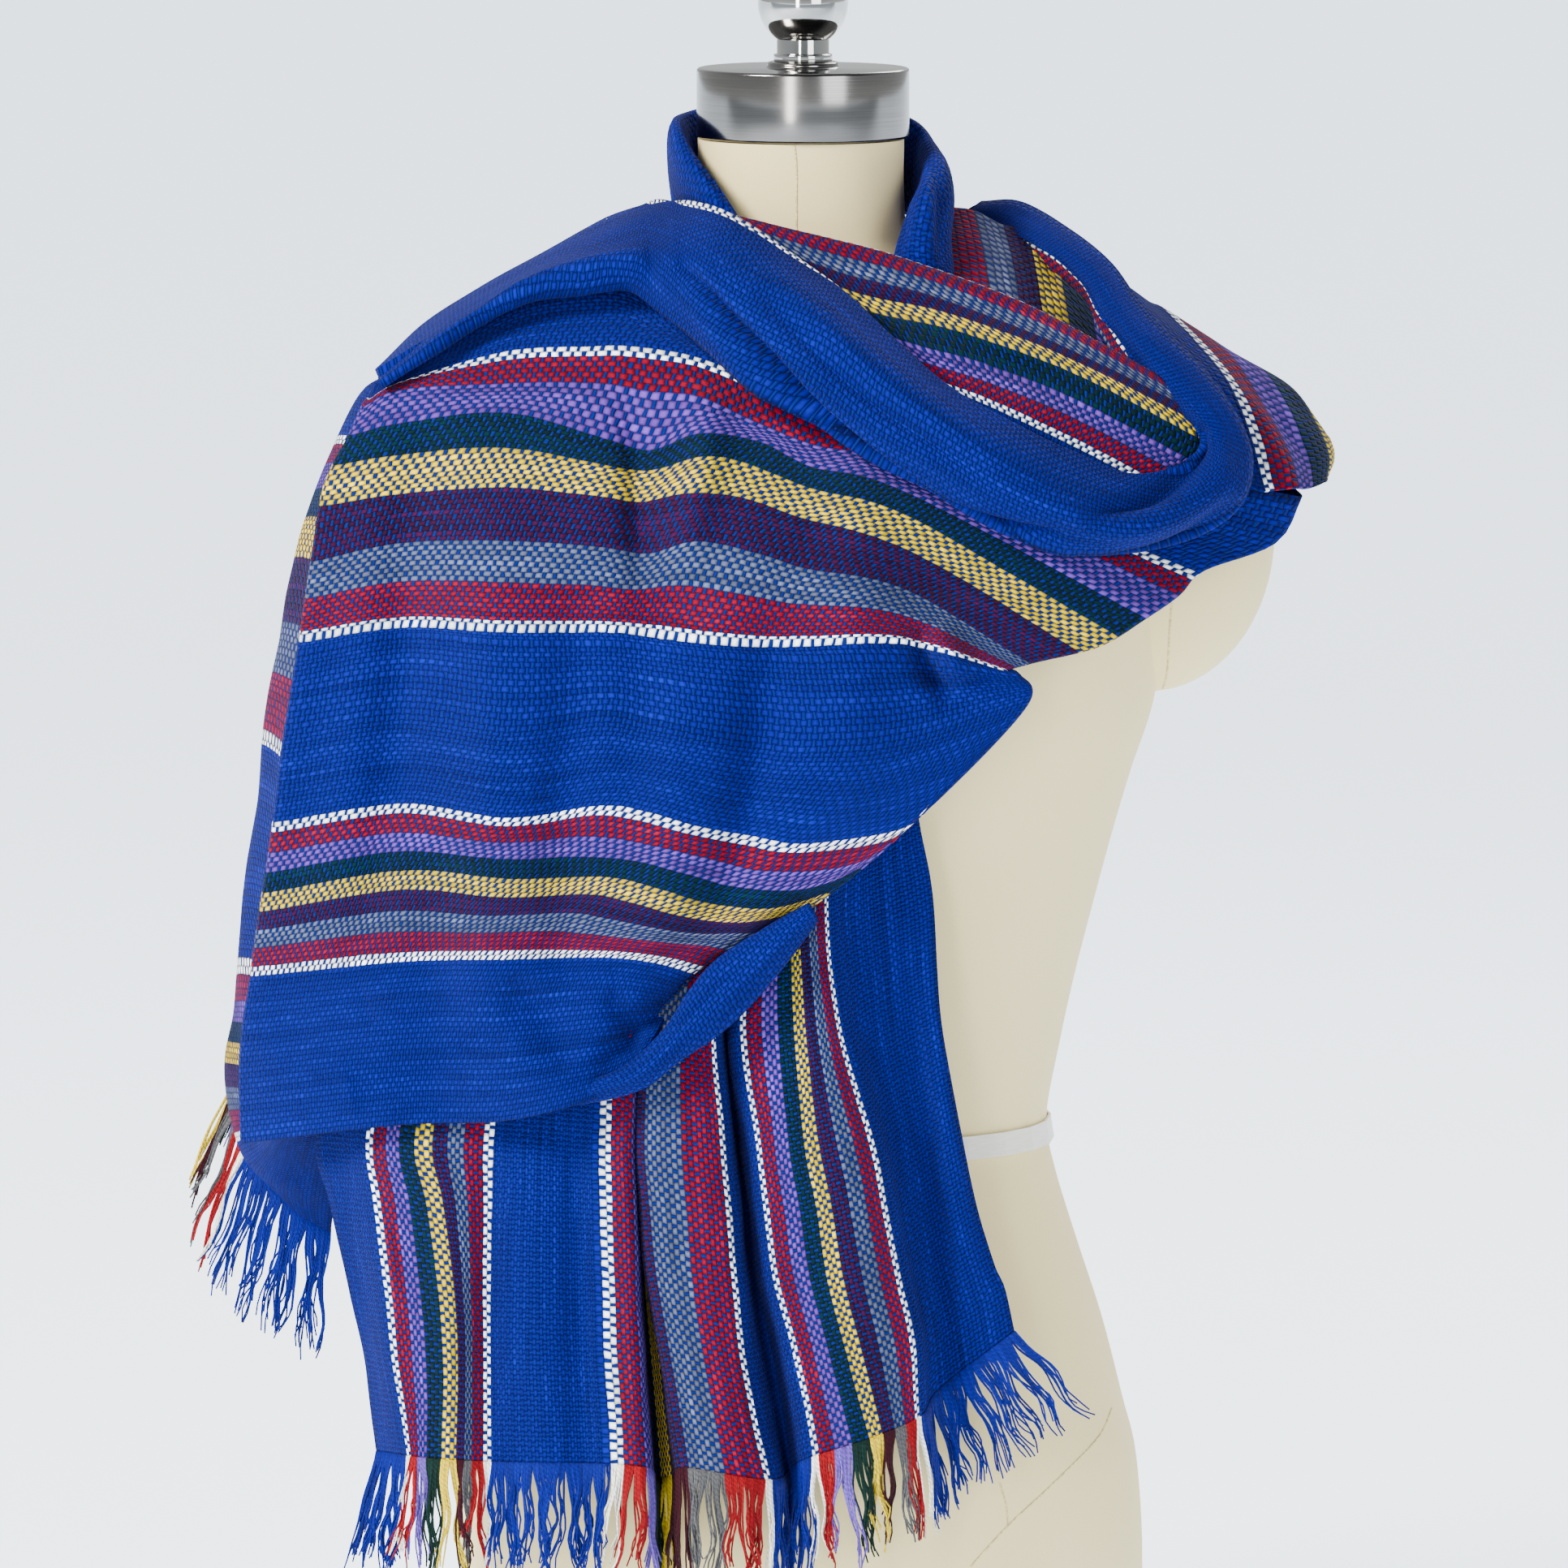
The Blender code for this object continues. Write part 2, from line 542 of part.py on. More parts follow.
def make_hanging_end():
    lines = []
    for name in EndLevel._fields[1:]:
        rise = END_RIGHT_RISE if name == "right" else 0
        line = []
        for row in HANGING_END:
            height = row.height
            if row is HANGING_END[-1]:
                height += rise
            drop = min(1.0, max(0.0, (560 - row.height) / 240))
            line.append(Vector((getattr(row, name), height, END_LIFT[name] * drop)))
        lines.append(line)
    return cloth("scarf_hanging_end", hang(loft(lines, 26, 17)), material("blue_red"))


def cowl_section(section, shares):
    """Points from the far side of the inner edge, over it and down the front."""
    inner = Vector((section.inner_x, section.inner_z))
    outer = Vector((section.outer_x, section.outer_z))
    outer_depth = drape_depth(outer.x, outer.y) + section.lift
    edge = seen(inner.x, inner.y, section.edge_depth)
    points = [
        edge + Vector((0, section.behind, -section.drop)) * MM,
        edge + Vector((0, section.behind * 0.45, -section.drop * 0.12)) * MM,
        edge,
    ]
    for share in shares:
        place = inner.lerp(outer, share)
        rise = math.sin(math.pi * share / 2) ** 0.8
        depth = section.edge_depth + (outer_depth - section.edge_depth) * rise
        depth += section.puff * math.sin(math.pi * share)
        points.append(seen(place.x, place.y, depth))
    return points


def make_cowl():
    sections = [cowl_section(section, (0.2, 0.4, 0.6, 0.8, 1.0)) for section in COWL]
    return cloth("scarf_cowl", loft(sections, 36, 10), material("blue"))


def make_inner_cowl():
    lines = []
    for row in INNER_COWL:
        places = (row.start, row.quarter, row.middle, row.three_quarter, row.end)
        lines.append([Vector((x, z, row.lift)) for x, z in places])
    return cloth("scarf_inner_cowl", hang(loft(lines, 8, 12)), material("blue_red"))


def make_neck_hollow():
    lines = []
    for row in NECK_HOLLOW:
        top = seen(row.top_x, row.top_z, row.top_depth)
        low = seen(row.low_x, row.low_z, row.low_depth)
        middle = top.lerp(low, 0.5) + Vector((0, 0, 0.003))
        lines.append([top, middle, low])
    return cloth("scarf_neck_hollow", loft(lines, 7, 5), material("blue_red"))


def make_neck_band():
    path = smooth_line([real((s.x, s.y, s.z)) for s in NECK_BAND], 22)
    sizes = smooth_line([Vector((s.half_height, s.bulk, 0)) for s in NECK_BAND], 22)
    profile = ((0.0, -1.0), (-0.05, -0.2), (0.05, 0.6), (0.45, 1.0), (0.85, 0.65), (1.0, -0.1), (0.9, -1.0))
    lines = []
    for i, place in enumerate(path):
        tangent = (path[min(i + 1, len(path) - 1)] - path[max(i - 1, 0)]).normalized()
        flare = Vector((place.x - BAND_FLARE_FROM[0], place.y - BAND_FLARE_FROM[1], 0))
        up = tangent.cross(flare).normalized()
        if up.z < 0:
            up = -up
        out = up.cross(tangent).normalized()
        if out.dot(flare) < 0:
            out = -out
        half = sizes[i].x * MM
        bulk = sizes[i].y * MM
        lines.append([place + out * bulk * a + up * half * b for a, b in profile])
    return cloth("scarf_neck_band", loft(lines, 22, 9), material("blue"))


def make_right_shoulder():
    lines = [[real(point) for point in row] for row in RIGHT_SHOULDER]
    return cloth("scarf_right_shoulder", loft(lines, 10, 11), material("blue_red"))


def make_back_wrap():
    lines = [[real(point) for point in row] for row in BACK_WRAP]
    return cloth("scarf_back_wrap", loft(lines, 16, 12), material("blue_red"))


def make_turned_hem():
    lines = []
    for row in TURNED_HEM:
        places = [(row.upper_x, row.upper_z), (row.lower_x, row.lower_z)]
        middle = ((row.upper_x + row.lower_x) / 2, (row.upper_z + row.lower_z) / 2)
        line = [Vector((*places[0], HEM_LIFT)), Vector((*middle, HEM_LIFT + 5)), Vector((*places[1], HEM_LIFT - 2))]
        lines.append(line)
    return cloth("scarf_turned_hem", hang(loft(lines, 10, 5)), material("blue"))


def fringe(name, edge, pitch, fall, length):
    """Backing strip along an edge with strands drawn out of its lower side."""
    total = sum((b - a).length for a, b in zip(edge, edge[1:]))
    cells = 2 * int(total / pitch) + 1
    path = smooth_line(edge, cells + 1)
    bm = bmesh.new()
    corners = []
    for i, point in enumerate(path):
        along = path[min(i + 1, cells)] - path[max(i - 1, 0)]
        down = fall(i / cells)
        half = down.cross(along).normalized() * STRAND_THICKNESS / 2
        low = point + down * STRIP_HEIGHT
        corners.append([bm.verts.new(place) for place in (point + half, point - half, low - half, low + half)])
    roots = []
    for i, (here, there) in enumerate(zip(corners, corners[1:])):
        for k in range(4):
            n = (k + 1) % 4
            side = bm.faces.new((here[k], here[n], there[n], there[k]))
            if k == 2 and i % 2 == 0:
                roots.append((i, side))
    bm.faces.new(corners[0])
    bm.faces.new(tuple(reversed(corners[-1])))
    for i, face in roots:
        down = fall(i / cells)
        along = (path[i + 1] - path[i]).normalized()
        reach = length * (0.88 + 0.12 * math.sin(i * 1.7) * math.cos(i * 0.53))
        for step in range(STRAND_STEPS):
            face = bmesh.ops.extrude_discrete_faces(bm, faces=[face])["faces"][0]
            sway = along * STRAND_SWAY * math.sin(i * 0.9 + step * 1.3)
            bmesh.ops.translate(bm, verts=face.verts, vec=down * reach / STRAND_STEPS + sway)
            centre = face.calc_center_median()
            for vert in face.verts:
                vert.co = centre + (vert.co - centre) * STRAND_TAPER
    return add_object(name, bm, material("yarn"))


def front_fall(share):
    """Strands hang straight and fan out to the right under the raised corner."""
    return Vector((-0.06 + 0.55 * max(0.0, share - 0.72), 0, -1)).normalized()


def back_fall(share):
    return Vector((0.40 - 0.60 * share, 0.08, -1)).normalized()


def make_front_fringe():
    low = HANGING_END[-1]
    line = []
    for name in EndLevel._fields[1:]:
        rise = END_RIGHT_RISE if name == "right" else 0
        line.append((getattr(low, name), low.height + rise, END_LIFT[name]))
    edge = []
    for x, z, lift in line:
        edge.append(seen(x, z - 3, drape_depth(x, z) + lift))
    fringe("fringe_front", edge, FRONT_STRAND_PITCH, front_fall, FRONT_FRINGE_LENGTH)


def make_back_fringe():
    edge = [real(row.end) + Vector((0, 0.0005, -0.0035)) for row in BACK_WRAP]
    fringe("fringe_back", edge, BACK_STRAND_PITCH, back_fall, BACK_FRINGE_LENGTH)


def main():
    clear_scene()
    make_torso()
    make_neck_cap()
    make_finial()
    make_waist_tape()
    make_hanging_end()
    make_front_panel()
    make_turned_hem()
    make_cowl()
    make_inner_cowl()
    make_neck_hollow()
    make_neck_band()
    make_right_shoulder()
    make_back_wrap()
    make_front_fringe()
    make_back_fringe()


main()
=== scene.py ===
import math

import bmesh
import bpy
import numpy as np
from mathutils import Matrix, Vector, noise
from mathutils.bvhtree import BVHTree


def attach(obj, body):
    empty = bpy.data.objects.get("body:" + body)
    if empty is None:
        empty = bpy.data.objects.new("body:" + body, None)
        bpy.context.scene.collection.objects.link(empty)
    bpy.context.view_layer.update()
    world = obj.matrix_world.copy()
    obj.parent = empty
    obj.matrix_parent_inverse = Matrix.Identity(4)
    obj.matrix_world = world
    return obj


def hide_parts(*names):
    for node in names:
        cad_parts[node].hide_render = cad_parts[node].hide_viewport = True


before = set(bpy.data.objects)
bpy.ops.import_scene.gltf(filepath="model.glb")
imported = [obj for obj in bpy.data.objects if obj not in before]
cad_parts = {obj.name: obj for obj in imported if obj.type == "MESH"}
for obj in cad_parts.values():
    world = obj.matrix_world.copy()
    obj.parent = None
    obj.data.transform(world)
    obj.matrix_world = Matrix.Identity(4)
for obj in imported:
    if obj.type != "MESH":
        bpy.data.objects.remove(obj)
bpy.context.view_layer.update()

mm = 0.001

# Striped scarf on a dress form. Tables are in millimetres. "Seen" places are on the form's
# middle plane, as the camera looks at them; depth is how far in front of that plane they lie.

camera = {"side": -0.008, "back": 5.0, "height": 1.145, "aimHeight": 0.505, "frame": 0.75}


def tint(code):
    # screen colour to the renderer's own light values
    parts = [int(code[i:i + 2], 16) / 255 for i in (1, 3, 5)]
    return tuple(p / 12.92 if p <= 0.04045 else ((p + 0.055) / 1.055) ** 2.4 for p in parts) + (1.0,)


# ---- node helpers

class Nodes:
    # short way to add and join nodes in a material or the world
    def __init__(self, owner):
        owner.use_nodes = True
        self.material = owner
        self.tree = owner.node_tree
        self.shader = self.tree.nodes.get("Principled BSDF") or self.tree.nodes.get("Background")

    def add(self, kind, **settings):
        made = self.tree.nodes.new(kind)
        for key, value in settings.items():
            setattr(made, key, value)
        return made

    def join(self, source, target):
        self.tree.links.new(source, target)

    def feed(self, socket, value):
        # a constant stays on the socket, anything else is joined to it
        if isinstance(value, (int, float, tuple)):
            socket.default_value = value
        elif value is not None:
            self.join(value, socket)

    def finish(self, sockets):
        for name, value in sockets.items():
            self.feed(self.shader.inputs[name], value)

    def coords(self, kind):
        return self.add("ShaderNodeTexCoord").outputs[kind]

    def split(self, vector):
        made = self.add("ShaderNodeSeparateXYZ")
        self.join(vector, made.inputs[0])
        return made.outputs

    def math(self, operation, *values):
        made = self.add("ShaderNodeMath", operation=operation)
        for socket, value in zip(made.inputs, values):
            self.feed(socket, value)
        return made.outputs[0]

    def mix(self, factor, a, b, kind="MIX"):
        made = self.add("ShaderNodeMix", data_type="RGBA", blend_type=kind)
        for place, value in ((0, factor), (6, a), (7, b)):
            self.feed(made.inputs[place], value)
        return made.outputs[2]

    def noise(self, vector, scale, detail=2.0):
        made = self.add("ShaderNodeTexNoise")
        for name, value in (("Vector", vector), ("Scale", scale), ("Detail", detail)):
            self.feed(made.inputs[name], value)
        return made.outputs["Fac"]

    def grain(self, x, y, steps, detail=1.0):
        # noise over two values, each with its own step
        made = self.add("ShaderNodeCombineXYZ")
        for socket, value, step in zip(made.inputs, (x, y), steps):
            self.join(self.math("MULTIPLY", value, step), socket)
        return self.noise(made.outputs[0], 1.0, detail)

    def arch(self, share, turns=1, power=1.0):
        # from 0 up to 1 and back over each turn
        wave = self.math("SINE", self.math("MULTIPLY", share, turns * math.pi))
        return self.math("POWER", self.math("ABSOLUTE", wave), power)

    def ramp(self, factor, stops, kind="LINEAR"):
        made = self.add("ShaderNodeValToRGB")
        band = made.color_ramp
        band.interpolation = kind
        while len(band.elements) < len(stops):
            band.elements.new(1.0)
        for element, (place, colour) in zip(band.elements, stops):
            element.position = place
        for element, (place, colour) in zip(band.elements, stops):
            element.color = colour
        self.join(factor, made.inputs[0])
        return made.outputs[0]

    def bump(self, height, strength, distance):
        made = self.add("ShaderNodeBump")
        for name, value in (("Strength", strength), ("Distance", distance), ("Height", height)):
            self.feed(made.inputs[name], value)
        self.join(made.outputs[0], self.shader.inputs["Normal"])


# ---- camera, floor and light

def setCamera():
    made = bpy.data.objects.new("photoCamera", bpy.data.cameras.new("photoCamera"))
    bpy.context.collection.objects.link(made)
    made.location = (camera["side"], -camera["back"], camera["height"])
    aim = Vector((camera["side"], 0, camera["aimHeight"])) - made.location
    made.rotation_euler = aim.to_track_quat("-Z", "Y").to_euler()
    made.data.sensor_width = 36
    made.data.lens = 36 * aim.length / camera["frame"]
    made.data.clip_end = 200
    bpy.context.scene.camera = made


studio = {
    "floor": "#E5F0FB", "floorGlow": 2.5, "frontGlow": 0.35,
    # the floor glows less in front of the form: place along the view, share of the glow
    "glow": [(-16, 1.0), (-11, 0.0), (-1.2, 0.0), (0.5, 1.0)], "glowFrom": -20, "glowTo": 5,
    "floorSize": 120, "floorShift": 30, "floorDrop": 0.0005, "floorRough": 0.9,
    # sky brightness from behind the camera (0) to behind the form (1), pale near the horizon
    "sky": [(0.0, "#2A2D30"), (0.35, "#4A4F54"), (0.55, "#C9D0D6"), (1.0, "#F6FAFC")],
        "skyStrength": 0.95, "horizon": 2.6,
    "lamps": [
        # name, place, aim, width, height, power, colour
        ("key", (-2.4, -2.0, 2.7), (0, 0, 0.5), 1.1, 1.1, 330, "#FFFDF8"),
        ("strip", (-0.95, -3.9, 1.2), (0, 0, 0.6), 0.5, 2.2, 75, "#FFFFFF"),
        ("fill", (2.3, -3.4, 1.6), (0, 0, 0.45), 1.8, 1.8, 80, "#F4F9FF"),
        ("rim", (1.2, 2.2, 2.4), (0, 0, 0.6), 1.4, 1.2, 60, "#FFFFFF"),
    ],
}


def setSky():
    world = bpy.data.worlds.new("paleRoom")
    bpy.context.scene.world = world
    n = Nodes(world)
    way = n.split(n.coords("Generated"))
    behind = n.math("MULTIPLY_ADD", way[1], 0.5, 0.5)
    low = n.math("MULTIPLY_ADD", way[2], -studio["horizon"], 1.0)
    stops = [(place, tint(colour)) for place, colour in studio["sky"]]
    n.finish({"Color": n.ramp(n.math("MAXIMUM", behind, low), stops), "Strength": studio["skyStrength"]})


def setLamps():
    for name, place, aim, width, height, power, colour in studio["lamps"]:
        lamp = bpy.data.lights.new(name, "AREA")
        lamp.shape = "RECTANGLE"
        lamp.size = width
        lamp.size_y = height
        lamp.energy = power
        lamp.color = tint(colour)[:3]
        made = bpy.data.objects.new(name, lamp)
        bpy.context.collection.objects.link(made)
        made.location = place
        made.rotation_euler = (Vector(aim) - Vector(place)).to_track_quat("-Z", "Y").to_euler()


def setFloor():
    bpy.ops.object.select_all(action="DESELECT")
    bpy.ops.mesh.primitive_plane_add(size=studio["floorSize"],
                                     location=(0, studio["floorShift"], -studio["floorDrop"]))
    floor = bpy.context.object
    floor.name = "paleFloor"
    bpy.ops.object.transform_apply(location=True, rotation=False, scale=True)
    n = Nodes(bpy.data.materials.new("paleFloor"))
    start, span = studio["glowFrom"], studio["glowTo"] - studio["glowFrom"]
    y = n.split(n.coords("Object"))[1]
    share = n.ramp(n.math("MULTIPLY_ADD", y, 1 / span, -start / span),
                   [((place - start) / span, (glow, glow, glow, 1)) for place, glow in studio["glow"]],
                    "EASE")
    glow = n.math("MULTIPLY_ADD", share, studio["floorGlow"] - studio["frontGlow"], studio["frontGlow"])
    n.finish({"Base Color": tint(studio["floor"]), "Roughness": studio["floorRough"],
        "Emission Color": tint(studio["floor"]),
              "Emission Strength": glow})
    floor.data.materials.append(n.material)


# ---- the weave: plain weave of doubled yarn, stripes counted in warp columns

weave = {
    "column": 0.0023,      # width of one doubled warp yarn
    "repeat": 0.0048,      # along the cloth: one warp float and one weft crossing
    "float": 0.70,         # share of the repeat where the warp lies on top
    "width": 0.6,
    "weft": "#0A2488", "weftDeep": "#000F4C",
    "colours": {
        "blue": "#000B6C", "white": "#FBFBFA", "red": "#72001D", "lilac": "#58368E", "green": "#001C22",
        "yellow": "#C6A800", "maroon": "#2C0428", "grey": "#4A5068",
    },
    # loose yarn ends show their own colour, without the blue weft
    "loose": {
        "blue": "#000E74", "white": "#F4F1E8", "red": "#86000E", "lilac": "#5E46A0", "green": "#02201A",
        "yellow": "#CCB014", "maroon": "#2E0412", "grey": "#505052",
    },
    "narrow": [("white", 2), ("red", 4), ("lilac", 4), ("green", 4), ("yellow", 4), ("maroon", 5),
               ("grey", 4), ("red", 4), ("white", 2)],
    "wide": [("white", 2), ("red", 6), ("lilac", 7), ("green", 7), ("yellow", 8), ("maroon", 9),
             ("grey", 8), ("red", 8), ("white", 2)],
    "edge": 31, "between": 36,
    # how far the threads waver: noise scale, size
    "waver": ((160.0, 0.0006), (210.0, 0.0022)),
    # shades along the yarns: steps across and along, noise detail, strength
    "yarnShade": ((0.731, 24.0), 3.0, 1.3), "broadShade": ((210.0, 9.0), 2.0, 0.8), "rowShade": ((3.17, 5.0),
        1.0, 1.3),
    # light streaks: steps, where they set in and are full, brightness
    "streaks": ((5.9, 34.0), 0.56, 0.74, 1.55),
    "twinShare": 0.18, "weftHeight": 0.62, "bump": (0.85, 0.0010),
    # how round a yarn is across, along its float and along the weft's crossing
    "sidePower": 0.75, "warpPower": 0.7, "weftPower": 0.6,
    # painted shade in the hollows between yarns, lighter yarn tops: power, spread and base; fuzz: noise
    # scale, spread and base
    "hollow": (0.8, 1.15, 0.10), "fuzz": (2600.0, 0.5, 0.75),
    "streakScale": 900.0, "rough": (0.16, 0.76),
    # loose yarns: turns of the twist and the painted shade of each turn, specks and own shades as above
    "twist": 2600.0, "twistPaintedShade": 0.35, "specks": (1300.0, 1.1, 0.15), "ownShade": ((3300.0, 22.0),
    2.4, -0.2),
}


def stripeStops(colours="colours"):
    # where each colour starts, as a share of the ramp's width
    order = [("blue", weave["edge"])] + weave["narrow"] + [("blue", weave["between"])] + weave["wide"]
    order += [("blue", weave["between"])] + weave["narrow"] + [("blue", weave["edge"] + 4)]
    stops = []
    column = 0
    for colour, count in order:
        stops.append((column * weave["column"] / weave["width"], tint(weave[colours][colour])))
        column += count
    return stops


def weavePlace(n):
    # places in the cloth: the map itself, across it and along it
    place = n.add("ShaderNodeUVMap", uv_map="weave").outputs[0]
    return (place, *n.split(place)[:2])


def weaveMaterial(name):
    n = Nodes(bpy.data.materials.new(name))
    place, *ways = weavePlace(n)
    across, along = [n.math("MULTIPLY_ADD", n.math("SUBTRACT", n.noise(place, scale, 1.0), 0.5), size, way)
                     for way, (scale, size) in zip(ways, weave["waver"])]
    columns = n.math("DIVIDE", across, weave["column"])
    column = n.math("FLOOR", columns)
    inColumn = n.math("FRACT", columns)
    odd = n.math("FLOORED_MODULO", column, 2.0)
    phase = n.math("FRACT", n.math("MULTIPLY_ADD", odd, 0.5, n.math("DIVIDE", along, weave["repeat"])))
    warpUp = n.math("LESS_THAN", phase, weave["float"])
    warpDown = n.math("SUBTRACT", 1.0, warpUp)
    inCross = n.math("DIVIDE", n.math("SUBTRACT", phase, weave["float"]), 1 - weave["float"])
    # each column is a pair of yarns
    pair = n.math("MULTIPLY_ADD", n.arch(inColumn, 2), weave["twinShare"],
                  n.math("MULTIPLY", n.arch(inColumn, 1, weave["sidePower"]), 1 - weave["twinShare"]))
    warpHeight = n.math("MULTIPLY", n.arch(n.math("DIVIDE", phase, weave["float"]), 1, weave["warpPower"]),
        pair)
    weftHeight = n.math("MULTIPLY", n.arch(inCross, 1, weave["weftPower"]), weave["weftHeight"])
    height = n.math("MULTIPLY_ADD", warpHeight, warpUp, n.math("MULTIPLY", weftHeight, warpDown))
    # stripes change between columns, never inside a yarn
    ramp = n.ramp(n.math("MULTIPLY", n.math("ADD", column, 0.5), weave["column"] / weave["width"]),
                  stripeStops(), "CONSTANT")
    # each yarn is a little lighter or darker along its length, some than their neighbours
    steps, detail, strength = weave["yarnShade"]
    yarn = n.math("MULTIPLY", n.grain(column, along, steps, detail), strength)
    steps, detail, strength = weave["broadShade"]
    tone = n.math("ADD", yarn, n.math("MULTIPLY_ADD", n.grain(across, along, steps, detail), strength, 0.05))
    steps, detail, strength = weave["rowShade"]
    row = n.math("MULTIPLY_ADD", n.grain(column, along, steps, detail), strength, 0.35)
    steps, low, high, bright = weave["streaks"]
    fleck = n.ramp(n.grain(column, along, steps), [(low, (1, 1, 1, 1)), (high, (bright, bright, bright, 1))])
    warp = n.mix(1.0, n.mix(1.0, ramp, n.math("MULTIPLY", tone, row), "MULTIPLY"), fleck, "MULTIPLY")
    streak = n.noise(place, weave["streakScale"])
    base = n.mix(warpUp, n.mix(streak, tint(weave["weftDeep"]), tint(weave["weft"])), warp)
    # painted shade: the colour darkens where the weave lies low, between yarns and under the weft crossings,
    # and lightens on the yarn tops
    power, *shade = weave["hollow"]
    hollow = n.math("MULTIPLY_ADD", n.math("POWER", height, power), *shade)
    scale, *shade = weave["fuzz"]
    fuzz = n.math("MULTIPLY_ADD", n.noise(place, scale), *shade)
    n.finish({"Base Color": n.mix(1.0, base, n.math("MULTIPLY", hollow, fuzz), "MULTIPLY"),
              "Roughness": n.math("MULTIPLY_ADD", streak, *weave["rough"]), "Specular IOR Level": 0.07,
              "Sheen Weight": 0.02, "Sheen Roughness": 0.45})
    n.bump(height, *weave["bump"])
    return n.material


def fringeMaterial(name):
    # warp yarns only, each in its stripe's colour, twisted
    n = Nodes(bpy.data.materials.new(name))
    place, across, along = weavePlace(n)
    ramp = n.ramp(n.math("DIVIDE", across, weave["width"]), stripeStops("loose"), "CONSTANT")
    lift = n.math("MULTIPLY_ADD", n.math("SINE", n.math("MULTIPLY", along, weave["twist"])), 0.5, 0.5)
    scale, *shade = weave["specks"]
    speck = n.math("MULTIPLY_ADD", n.noise(place, scale), *shade)
    steps, *shade = weave["ownShade"]
    own = n.math("MULTIPLY_ADD", n.grain(across, along, steps), *shade)
    # painted shade: each turn of the twist lightens and darkens the colour, as light would fall on the plies;
    # specks and own shades are random tone
    shade = n.math("MULTIPLY", own, n.math("MULTIPLY_ADD", lift, weave["twistPaintedShade"], speck))
    n.finish({"Base Color": n.mix(1.0, ramp, shade, "MULTIPLY"),
        "Roughness": 0.85, "Specular IOR Level": 0.14,
              "Sheen Weight": 0.05})
    n.bump(lift, 0.5, 0.0004)
    return n.material


# ---- curves and lofts

def curveThrough(points, count):
    # count places evenly spaced on a smooth curve; further columns ride along
    p = np.asarray(points, float)
    ends = np.vstack([2 * p[:1] - p[1:2], p, 2 * p[-1:] - p[-2:-1]])
    t = np.linspace(0, 1, 12, endpoint=False)[:, None]
    fine = []
    for i in range(len(p) - 1):
        a, b, c, d = ends[i:i + 4]
        fine.append(0.5 * (2 * b + (c - a) * t + (2 * a - 5 * b + 4 * c - d) * t ** 2
                           + (3 * b - a - 3 * c + d) * t ** 3))
    fine = np.vstack(fine + [p[-1:]])
    run = np.concatenate([[0], np.cumsum(np.linalg.norm(np.diff(fine[:, :3], axis=0), axis=1))])
    spots = np.linspace(0, run[-1], count)
    return np.stack([np.interp(spots, run, column) for column in fine.T], axis=1)


def loft(lines, step, columns):
    # rows run from line to line about a step apart, columns along them
    along = np.stack([curveThrough(line, columns) for line in lines])
    ends = np.concatenate([2 * along[:1] - along[1:2], along, 2 * along[-1:] - along[-2:-1]])
    rows = []
    for i in range(len(lines) - 1):
        a, b, c, d = ends[i:i + 4]
        span = np.linalg.norm((c - b)[:, :3], axis=1).mean()
        count = max(2, int(round(span / step)))
        for k in range(count):
            t = k / count
            row = 0.5 * (2 * b + (c - a) * t + (2 * a - 5 * b + 4 * c - d) * t ** 2
                         + (3 * b - a - 3 * c + d) * t ** 3)
            row[:, 3] = b[:, 3] + (c[:, 3] - b[:, 3]) * t
            rows.append(row)
    rows.append(along[-1])
    return np.stack(rows)


drape = [(150, 140), (330, 138), (450, 138), (520, 143), (590, 148), (640, 142), (680, 124), (710, 104),
         (735, 84), (760, 70), (790, 58)]
drapeReach = (292, 262)


def drapeDepth(x, z):
    heights = np.array([row[0] for row in drape], float)
    depths = np.array([row[1] for row in drape], float)
    i = np.clip(np.searchsorted(heights, z) - 1, 0, len(heights) - 2)
    part = np.clip((z - heights[i]) / (heights[i + 1] - heights[i]), 0, 1)
    smooth = part * part * (3 - 2 * part) * 0.4 + part * 0.6
    table = depths[i] + (depths[i + 1] - depths[i]) * smooth
    reach = np.where(x < 0, drapeReach[0], drapeReach[1])
    return table * np.sqrt(np.maximum(0.05, 1 - (x / reach) ** 2))


def seen(x, z, depth):
    # real place in metres of seen places in millimetres
    along = (camera["back"] - depth * mm) / camera["back"]
    realX = camera["side"] + (x * mm - camera["side"]) * along
    realZ = camera["height"] + (z * mm - camera["height"]) * along
    return np.stack([realX, -depth * mm + 0 * realX, realZ], axis=-1)


def toSeen(real):
    # seen places in millimetres of real ones
    along = (camera["back"] + real[..., 1]) / camera["back"]
    x = camera["side"] + (real[..., 0] - camera["side"]) / along
    z = camera["height"] + (real[..., 2] - camera["height"]) / along
    return np.stack([x, z], axis=-1) / mm


def nearPath(places, path):
    # distance to a bent path, and the share of its length at the nearest point
    path = np.asarray(path, float)
    spans = np.linalg.norm(np.diff(path, axis=0), axis=1)
    run = np.concatenate([[0], np.cumsum(spans)])
    best = np.full(places.shape[:-1], 1e9)
    share = np.zeros(places.shape[:-1])
    for i, (a, b) in enumerate(zip(path, path[1:])):
        way = b - a
        t = np.clip(((places - a) @ way) / max(way @ way, 1e-12), 0, 1)
        gap = np.linalg.norm(places - (a + t[..., None] * way), axis=-1)
        closer = gap < best
        best = np.where(closer, gap, best)
        share = np.where(closer, (run[i] + t * spans[i]) / run[-1], share)
    return best, share


def creaseLift(places, creases):
    # soft ridges (depth over 0) and troughs (under 0), fading towards their ends
    total = np.zeros(places.shape[:-1])
    for path, width, depth in creases:
        gap, share = nearPath(places, path)
        fade = np.sin(np.pi * np.clip(share, 0, 1)) ** 0.6
        total += depth * fade * np.exp(-(gap / width) ** 2)
    return total


def wander(grid, size, height, seed):
    # low soft unevenness, the same each run
    flat = grid.reshape(-1, 3)
    values = [noise.noise(Vector(p) / size + Vector((seed, seed * 0.37, 0))) for p in flat]
    return np.array(values).reshape(grid.shape[:2]) * height


